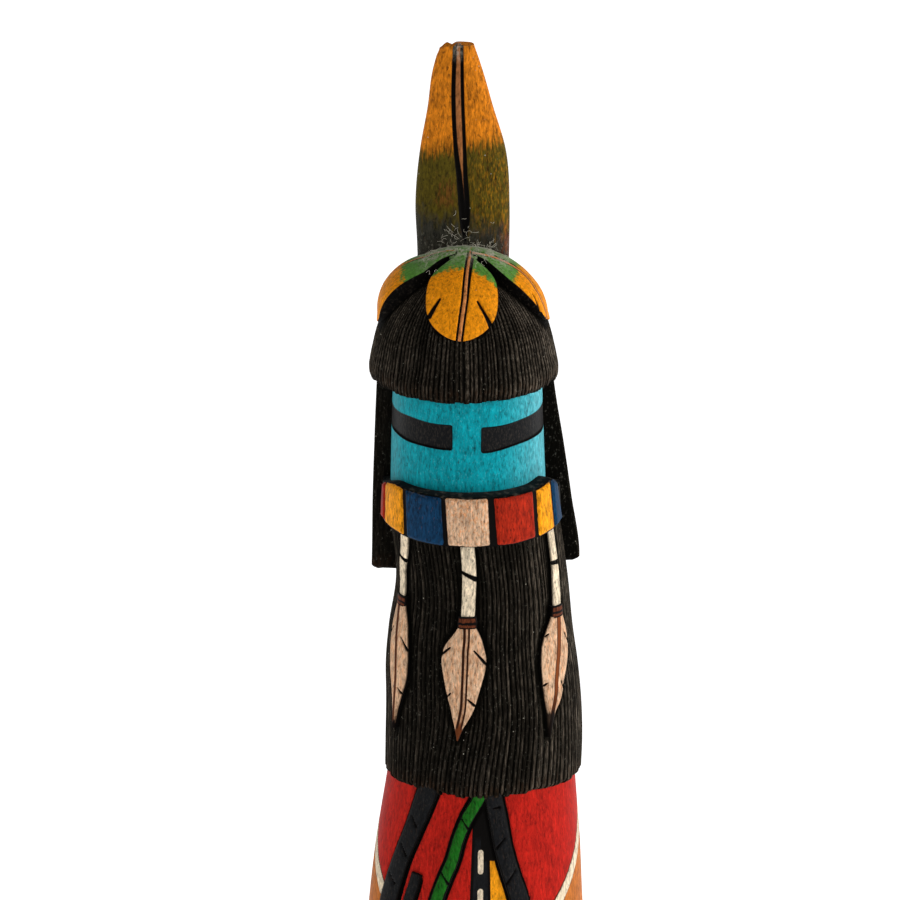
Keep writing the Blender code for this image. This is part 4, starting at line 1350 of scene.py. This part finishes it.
class KACHINA_OT_hair_cap(BuildOperator, bpy.types.Operator):
    """Build the bell of hair over the head"""

    bl_idname = "kachina.hair_cap"
    bl_label = "Hair cap"

    def build(self, sizes):
        """Distance from the head's centre = the cap's profile - the locks' grooves, down to a lip."""
        angles, valley, tone = locks(31, 0, 360, CAP_RADIUS)
        ragged = ragged_tips(np.random.default_rng(32), CAP_RAGGED, len(angles))
        gamma = np.concatenate([np.linspace(CAP[-1][0], 60, 52), np.linspace(58, 4, 26)])[:, None]
        moved = angles + CAP_STRAY * ripple(33, angles * 0.15, gamma * 0.06)
        turns = np.radians(moved)
        distance = smooth(CAP, gamma)[..., 0]
        fade = np.clip(gamma / CAP_GROOVED, 0.0, 1.0) ** 1.5 + 0.0 * moved
        uneven = lump(34, moved * 0.1, gamma * 0.15) * fade
        wide, high = distance * np.sin(np.radians(gamma)), distance * np.cos(np.radians(gamma))
        bare = self.ring(turns, wide, high)
        gap = np.full(bare.shape[:-1], FAR)
        for feather in PETALS:
            surface, path = petal(feather)
            line, half = strip_line(surface, path, 30)
            past = np.radians(gamma - path[-1][1]) * PETAL_RADIUS
            gap = np.minimum(gap, np.maximum(gap_to(bare, line, half), past) - feather[4])
        margin = ease(0.4, -0.5, gap + 0.0 * moved)
        fade = fade * (1 - margin)
        radius = wide - fade * sizes.lock_depth / MM * valley + uneven
        front = np.clip(np.cos(turns) * 2.5 + 0.2, 0.0, 1.0) * CAP_FRONT_RISE
        low = ease(CAP_RISE_FROM, CAP_RISE_FROM + 20, gamma)
        height = high + low * (front + ragged)
        lips = [
            self.ring(turns[0], rad - 0.3 * valley * (rad > 18), up + front[0] + ragged * 0.6)
            for rad, up in CAP_LIP[::-1]
        ]
        rings = np.concatenate([lips, self.ring(turns, radius, height)])
        count = len(CAP_LIP)
        tips = np.concatenate([np.zeros(count), (CAP[-1][0] - gamma[:, 0]) * 0.35])[:, None]
        share = np.concatenate([np.full((count, moved.shape[1]), 0.5), fade])
        marks = {
            "groove": (valley * share + SMOOTH_GROOVE * (1 - share), 0.0, 0.0),
            "tint": (bends(CAP_WEAR_AND_LIGHT, signed(angles)) + tone * TONE_WEAR, 1 - share, tips),
        }
        add_piece("hair_cap", rings, marks, hair_finish())

    def ring(self, turns, radius, height):
        return turned(radius, turns, height, CAP_DEPTH) + CAP_CENTRE


class KACHINA_OT_mask(BuildOperator, bpy.types.Operator):
    """Build the mask with its sunk eye bands"""

    bl_idname = "kachina.mask"
    bl_label = "Mask"

    def build(self, sizes):
        """Radius = the mask's section, sunk where the distance to an eye's rounded outline is below 0."""
        low, high = EYE_HEIGHT - EYE_HALF, EYE_HEIGHT + EYE_HALF
        heights = steps(
            (MASK[0][0], low - 0.5, 0.5), (low - 0.5, low + 0.5, 0.1), (low + 0.5, high - 0.5, 0.4),
            (high - 0.5, high + 0.5, 0.1), (high + 0.5, MASK[1][0], 0.5),
        )[:, None]
        angles = steps((-104, 104, 0.8), (104, 256, 8))[:-1][None, :]
        turn = signed(angles)
        radius = np.hypot(*np.moveaxis(body_point(MASK, angles, heights, 0.0), -1, 0)[:2])
        eye = np.full(radius.shape, FAR)
        wave = 0.1 * ripple(7, turn * 0.2, heights * 0.3)
        for start, end, hang in EYES:
            beside = (np.abs(turn - (start + end) / 2) - (end - start) / 2) * np.radians(1) * radius
            middle = EYE_HEIGHT - hang * ease(EYE_LEVEL_FROM, 15, np.abs(turn))
            over = heights - middle + EYE_TOP_DROP * ease(EYE_LEVEL_FROM, 90, -turn) * (heights > middle)
            above = np.abs(over) - EYE_HALF
            beside, above = beside + EYE_CORNER, above + EYE_CORNER
            outside = np.hypot(np.maximum(beside, 0), np.maximum(above, 0)) - EYE_CORNER
            eye = np.minimum(eye, outside + np.minimum(np.maximum(beside, above), 0))
        eye = eye + wave
        sink = sizes.eye_sink / MM * ease(0.05, -0.25, eye) * ease(92, 70, np.abs(turn))
        rings = body_point(MASK, angles, heights, lump(8, turn * 0.12, heights * 0.25) - sink)
        add_piece("mask", rings, {"eye": (eye, turn, 0.0)}, mask_finish())


class KACHINA_OT_collar(BuildOperator, bpy.types.Operator):
    """Build the collar of painted blocks"""

    bl_idname = "kachina.collar"
    bl_label = "Collar"

    def build(self, sizes):
        """A ring of rounded blocks: their face falls off over the last half millimetre to a joint."""
        angles = steps((-118, 118, 0.75), (118, 242, 12))[:-1][None, :]
        turn = signed(angles)
        tuck = COLLAR_TUCK * ease(90, 130, np.abs(turn))
        low, high = bends(COLLAR_LOW, turn) + tuck, bends(COLLAR_HIGH, turn) - tuck
        face = np.linspace(0, 1, COLLAR_ROWS)
        t = np.concatenate([np.zeros(len(COLLAR_UNDER)), face, np.ones(len(COLLAR_OVER))])[:, None]
        profile = np.concatenate([COLLAR_UNDER, np.zeros((COLLAR_ROWS, 2)), COLLAR_OVER])
        inward, rise = profile.T[..., None]
        heights = low + t * (high - low) + rise
        joints, leans, gaps = np.asarray(COLLAR_JOINTS, float).T
        aside = (turn[..., None] - joints - leans * (0.5 - t[..., None])) * np.radians(1) * COLLAR[0][1]
        offs = np.min(np.abs(aside) - gaps, axis=-1)
        offs = np.minimum(offs, np.minimum(aside[..., 0], -aside[..., -1]))
        wave = 0.05 * ripple(9, turn * 0.4, heights * 0.5)
        edge = np.minimum(heights - low - 0.25, high - 0.1 - heights)
        inside = np.minimum(offs, edge) + wave
        round_off, round_edge = COLLAR_CORNER - offs, COLLAR_CORNER - edge
        corner = COLLAR_CORNER - np.hypot(np.maximum(round_off, 0), np.maximum(round_edge, 0)) + wave
        block = -np.where((round_off > 0) & (round_edge > 0), corner, inside)
        rounding = COLLAR_ROUNDING * ease(0.5, -0.1, -block)
        behind = COLLAR_BEHIND * (np.abs(turn) > 104)
        rings = body_point(COLLAR, angles, heights, -inward - rounding - behind)
        marks = {"block": (np.where(inward > 0, FAR, block), turn, t)}
        add_piece("collar", rings, marks, collar_finish())


class KACHINA_OT_crown_feathers(BuildOperator, bpy.types.Operator):
    """Build the four feathers over the crown and the knob that they spring from"""

    bl_idname = "kachina.crown_feathers"
    bl_label = "Crown feathers"

    def build(self, sizes):
        finish = petal_finish()
        for number, (feather, quill, edge) in enumerate(zip(PETALS, PETAL_QUILLS, PETAL_EDGES)):
            surface, path = petal(feather)
            quill_along, quill_turn = np.asarray(quill, float).T
            edge_turn, edge_along = np.asarray(edge, float).T

            def aside(across, length):
                along = path[0][1] + np.degrees(length / PETAL_RADIUS)
                turn = np.interp(along, quill_along, quill_turn)
                return across + np.radians(turn) * PETAL_RADIUS, along

            def dent(across, length):
                away = np.abs(np.abs(aside(across, length)[0]) - QUILL_GAP)
                return PETAL_GROOVES[0] * ease(PETAL_GROOVES[1], 0.05, away)

            lift = PETAL_LIFTS[number]
            depth, cut = PETAL_THICKNESS, feather[5]
            rings, marks = strip(surface, path, lift, depth, PETAL_GRID, cut, PETAL_SLIT, dent)
            across, length, _ = marks["place"]
            beside, along = aside(across, length)
            boundary = along - np.interp(np.degrees(-across / PETAL_RADIUS), edge_turn, edge_along)
            stroke = 0.22 + 0.1 * ease(0.0, 0.1, beside) * ease(50, 20, along)
            marks["quill"] = (beside, QUILL_GAP, boundary)
            marks["dust"] = (to_tall_feather(rings), stroke, ease(38.0, 22.0, along))
            add_piece(f"crown_feather_{number + 1}", rings, marks, finish)
        self.knob(finish)

    def knob(self, finish):
        """A low dome of the crown's own radius, wider behind, closed underneath."""
        turn = np.linspace(0, 360, 90, endpoint=False)[None, :]
        reach = CROWN_KNOB + CROWN_KNOB_BACK * ease(70, 120, np.abs(signed(turn)))
        share, sunk = np.array(KNOB_PROFILE).T[..., None]
        sunk = sunk + 0.3 * ease(120, 60, np.abs(signed(turn)))
        gamma, turns = np.radians(share * reach), np.radians(turn)
        radius = PETAL_RADIUS + KNOB_RISE - sunk
        rings = turned(radius * np.sin(gamma), turns, radius * np.cos(gamma), CAP_DEPTH) + CAP_CENTRE
        marks = {
            "place": (0.0, radius * gamma * 0.5, 0.0),
            "cut": (FAR, FAR, 0.0),
            "quill": (FAR, QUILL_GAP, -KNOB_GREEN),
            "dust": (to_tall_feather(rings), 0.0, 1.0),
        }
        add_piece("crown_knob", rings, marks, finish)


class KACHINA_OT_tall_feather(BuildOperator, bpy.types.Operator):
    """Build the tall feather behind the crown"""

    bl_idname = "kachina.tall_feather"
    bl_label = "Tall feather"

    def build(self, sizes):
        """Section: across = w cos^p, through = d sin^p, less two grooves beside the quill in front."""
        behind = np.linspace(0, 180, 40, endpoint=False)
        before = np.linspace(180, 360, 220, endpoint=False)
        turns = np.radians(np.concatenate([behind, before]))[None, :]
        across = np.sign(np.cos(turns)) * np.abs(np.cos(turns)) ** TALL_POWER
        through = np.sign(np.sin(turns)) * np.abs(np.sin(turns)) ** TALL_POWER
        heights = steps((TALL_FEATHER[0][0], TOP - 1, 0.4), (TOP - 1, TOP, 0.25))[:, None]
        half_width, half_thick, centre = np.moveaxis(smooth(TALL_FEATHER, heights), -1, 0)
        middle, gap, half = np.moveaxis(smooth(TALL_QUILL, heights), -1, 0)
        uneven = 1.5 * lump(14, across * 4, heights * 0.25)
        x = centre + half_width * across + uneven * across
        quill = x - middle
        front = ease(0.0, -0.5, through)
        groove = ease(1.3, 0.2, np.abs(np.abs(quill) - gap) / np.maximum(half, 0.05)) * ease(0.05, 0.25, half)
        y = half_thick * through + uneven * through + front * groove * sizes.quill_depth / MM
        depth, place, width = TIP_NICK
        lost = depth * np.exp(-(((x - place) / width) ** 2)) + bends(TIP_LOSS, x)
        z = heights - lost * ease(TOP - 3, TOP, heights)
        rings = grid_points(x, TALL_FEATHER_BACK + y, z)
        marks = {"place": (x - centre, z, 0.0), "quill": (quill, np.where(front > 0, gap, 0.0), half * front)}
        add_piece("tall_feather", rings, marks, plume_finish())


class KACHINA_OT_lint(BuildOperator, bpy.types.Operator):
    """Build the fibres of lint caught on the crown and at the tall feather's foot"""

    bl_idname = "kachina.lint"
    bl_label = "Lint"

    def build(self, sizes):
        """Thin tubes along curves whose heading turns evenly, up to half a millimetre off the wood."""
        rng = np.random.default_rng(51)
        count = sizes.lint_count
        t = np.linspace(0, 1, LINT_POINTS)[None, :]
        length, start, turning, lift = (rng.uniform(a, b, (count, 1)) for a, b in LINT_RANGES)
        heading = start + turning * t
        step = length / (LINT_POINTS - 1)
        run = np.cumsum(np.cos(heading) * step, axis=1) - np.cos(start) * step
        climb = np.cumsum(np.sin(heading) * step, axis=1) - np.sin(start) * step
        raised = 0.08 + lift * np.sin(np.pi * t)
        standing = int(count * LINT_STANDING)
        side = rng.uniform(*LINT_SIDE, (count, 1)) + run
        height = LINT_FOOT + rng.uniform(0.0, 1.0, (count, 1)) ** 3 * LINT_CLIMB + np.abs(climb)
        half_width, half_thick, centre = np.moveaxis(smooth(TALL_FEATHER, height), -1, 0)
        share = np.clip(np.abs(side - centre) / half_width, 0.0, 0.98)
        front = TALL_FEATHER_BACK - half_thick * (1 - share**2.5) ** 0.4 - raised
        upright = np.stack([side, front, height], axis=-1)
        along = rng.uniform(*LINT_ALONG, (count, 1)) + LINT_SPREAD * rng.uniform(0, 1, (count, 1)) ** 3
        across = np.degrees((rng.uniform(*LINT_ACROSS, (count, 1)) + run) / PETAL_RADIUS)
        lying = crown_point(0.0)(across, along + np.degrees(climb / PETAL_RADIUS), raised + 0.1)
        lines = np.where(np.arange(count)[:, None, None] < standing, upright, lying)
        tangent = np.gradient(lines, axis=1)
        tangent /= np.linalg.norm(tangent, axis=-1, keepdims=True)
        beside = np.cross(tangent, np.array((0.0, -1.0, 0.3)))
        beside /= np.linalg.norm(beside, axis=-1, keepdims=True)
        above = np.cross(beside, tangent)
        turns = np.linspace(0, 2 * np.pi, 4, endpoint=False)[:, None]
        around = np.cos(turns) * beside[:, :, None] + np.sin(turns) * above[:, :, None]
        rings = lines[:, :, None] + around * LINT_RADIUS
        points = np.concatenate([rings.reshape(count, -1, 3), lines[:, :1], lines[:, -1:]], axis=1)
        quads, fans = skin_faces(LINT_POINTS, 4)
        shift = (np.arange(count) * points.shape[1])[:, None, None]
        faces = (quads + shift).reshape(-1, 4).tolist() + (fans + shift).reshape(-1, 3).tolist()
        claim(add_mesh("lint", points.reshape(-1, 3), faces, lint_finish()), "figure")


class KACHINA_OT_hung_feathers(BuildOperator, bpy.types.Operator):
    """Build the three feathers that hang on the beard, with their straps and ties"""

    bl_idname = "kachina.hung_feathers"
    bl_label = "Hung feathers"

    def build(self, sizes):
        leaf, strap, tie = leaf_finish(), strap_finish(), tie_finish()
        surface = on_body(BEARD)
        for side, feather in HUNG_FEATHERS.items():
            path, slits = feather["leaf"], feather["slits"]
            cut = (feather["cut"],)
            rings, marks = strip(surface, path, LEAF_LIFT, LEAF_SINK, LEAF_GRID, slits, LEAF_SLIT)
            across, share = marks["place"][0], marks["cut"][2]
            gap, lean, brown, stroke, burned = feather["quill"]
            thin = 1 - QUILL_TAPER * brown * share
            marks["quill"] = (across - lean * np.sin(np.pi * share), gap * thin, stroke * thin)
            marks["fill"] = (brown, burned, 0.0)
            add_piece(f"leaf_{side}", rings, marks, leaf)
            path = feather["strap"]
            rings, marks = strip(surface, path, STRAP_LIFT, LEAF_SINK, STRAP_GRID, cut, STRAP_SLIT)
            add_piece(f"strap_{side}", rings, marks, strap)
            rings, marks = strip(surface, feather["tie"], TIE_LIFT, LEAF_SINK, TIE_GRID)
            add_piece(f"tie_{side}", rings, marks, tie)


class KACHINA_OT_base(BuildOperator, bpy.types.Operator):
    """Build the turned base"""

    bl_idname = "kachina.base"
    bl_label = "Base"

    def build(self, sizes):
        """A profile of radius and height, with a bead at the top edge, turned round the middle."""
        radius, top = BASE_HIGH.x, BASE_HIGH.z
        bead = np.radians(np.linspace(0, 90, 12))
        profile = [(radius * 0.5, 0.0), (radius - 0.8, 0.0), (radius - 0.25, 0.25), (radius, 0.8)]
        profile += [(radius, z) for z in np.linspace(2.0, top - 4.4, 8)]
        profile += [(radius - 0.35, top - 3.8), (radius - 0.35, top - 3.4), (radius, top - 2.9)]
        profile += [(radius - 2.4 * (1 - np.cos(a)), top - 2.4 * (1 - np.sin(a))) for a in bead]
        profile += [(r, top) for r in (radius * 0.85, radius * 0.6, radius * 0.3)]
        distance, height = (np.array(column)[:, None] for column in zip(*profile))
        turns = np.radians(np.linspace(0, 360, 180, endpoint=False))[None, :]
        add_piece("turned_base", turned(distance, turns, height), {}, base_finish(), "base")


class KACHINA_OT_stage(BuildOperator, bpy.types.Operator):
    """Set up the pale floor, the soft lights and the camera"""

    bl_idname = "kachina.stage"
    bl_label = "Stage"

    def build(self, sizes):
        self.floor()
        for name, (place, size, power) in LIGHTS.items():
            self.light(name, place, size, power)
        scene = bpy.context.scene
        scene.world = bpy.data.worlds.new("studio")
        scene.world.use_nodes = True
        self.surroundings(scene.world.node_tree)
        scene.view_settings.view_transform = "Standard"
        self.camera()

    def surroundings(self, tree):
        """A dim even glow on the figure, and a plain white wall past the end of the floor."""
        glow = tree.nodes["Background"]
        glow.inputs["Color"].default_value = WHITE
        glow.inputs["Strength"].default_value = GLOW
        wall = tree.nodes.new("ShaderNodeBackground")
        wall.inputs["Color"].default_value = WALL
        path = tree.nodes.new("ShaderNodeLightPath")
        share = tree.nodes.new("ShaderNodeMixShader")
        tree.links.new(path.outputs["Is Camera Ray"], share.inputs[0])
        tree.links.new(glow.outputs[0], share.inputs[1])
        tree.links.new(wall.outputs[0], share.inputs[2])
        tree.links.new(share.outputs[0], tree.nodes["World Output"].inputs["Surface"])

    def floor(self):
        """A wide flat disc: rings from its rim to its middle."""
        turns = np.radians(np.linspace(0, 360, 96, endpoint=False))[None, :]
        distance, height = np.array(FLOOR_RINGS).T[..., None]
        add_skin("floor", turned(distance, turns, height), {}, floor_finish())

    def light(self, name, place, size, power):
        """A square soft light aimed at the middle of the figure."""
        lamp = bpy.data.lights.new(name, "AREA")
        lamp.size = size
        lamp.energy = power
        item = bpy.data.objects.new(name, lamp)
        item.location = place
        item.rotation_euler = (Vector(LIT_PLACE) - Vector(place)).to_track_quat("-Z", "Y").to_euler()
        bpy.context.scene.collection.objects.link(item)

    def camera(self):
        """A long lens looks down at the figure from the front, at its upper part."""
        lens = bpy.data.cameras.new("camera")
        lens.sensor_width = 36.0
        lens.lens = CAMERA_LENS
        lens.clip_end = CAMERA_REACH
        view = bpy.data.objects.new("camera", lens)
        tilt = Euler((np.radians(90 - CAMERA_TILT), 0.0, 0.0))
        view.rotation_euler = tilt
        view.location = (Vector(CAMERA_AIM) + tilt.to_matrix() @ Vector(CAMERA_SHIFT)) * MM
        bpy.context.scene.collection.objects.link(view)
        bpy.context.scene.camera = view


class KACHINA_PT_panel(bpy.types.Panel):
    """The figure's sizes and colours, and a button for each piece"""

    bl_idname = "KACHINA_PT_panel"
    bl_label = "Kachina figure"
    bl_space_type = "VIEW_3D"
    bl_region_type = "UI"
    bl_category = "Kachina"

    def draw(self, context):
        for group in (context.scene.kachina_sizes, context.scene.kachina_paints):
            box = self.layout.box()
            for name in group.__annotations__:
                box.prop(group, name)
        for operator in OPERATORS:
            self.layout.operator(operator.bl_idname)


OPERATORS = (
    KACHINA_OT_stage,
    KACHINA_OT_base,
    KACHINA_OT_robe,
    KACHINA_OT_bands,
    KACHINA_OT_beard,
    KACHINA_OT_hung_feathers,
    KACHINA_OT_back_hair,
    KACHINA_OT_collar,
    KACHINA_OT_mask,
    KACHINA_OT_hair_cap,
    KACHINA_OT_crown_feathers,
    KACHINA_OT_tall_feather,
    KACHINA_OT_lint,
)
CLASSES = (KachinaSizes, KachinaPaints, *OPERATORS, KACHINA_PT_panel)


def register():
    for item in CLASSES:
        bpy.utils.register_class(item)
    bpy.types.Scene.kachina_sizes = PointerProperty(type=KachinaSizes)
    bpy.types.Scene.kachina_paints = PointerProperty(type=KachinaPaints)


def unregister():
    del bpy.types.Scene.kachina_paints
    del bpy.types.Scene.kachina_sizes
    for item in reversed(CLASSES):
        bpy.utils.unregister_class(item)


def main():
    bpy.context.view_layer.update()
    register()
    for operator in OPERATORS:
        group, name = operator.bl_idname.split(".")
        getattr(getattr(bpy.ops, group), name)()


if __name__ == "__main__":
    main()
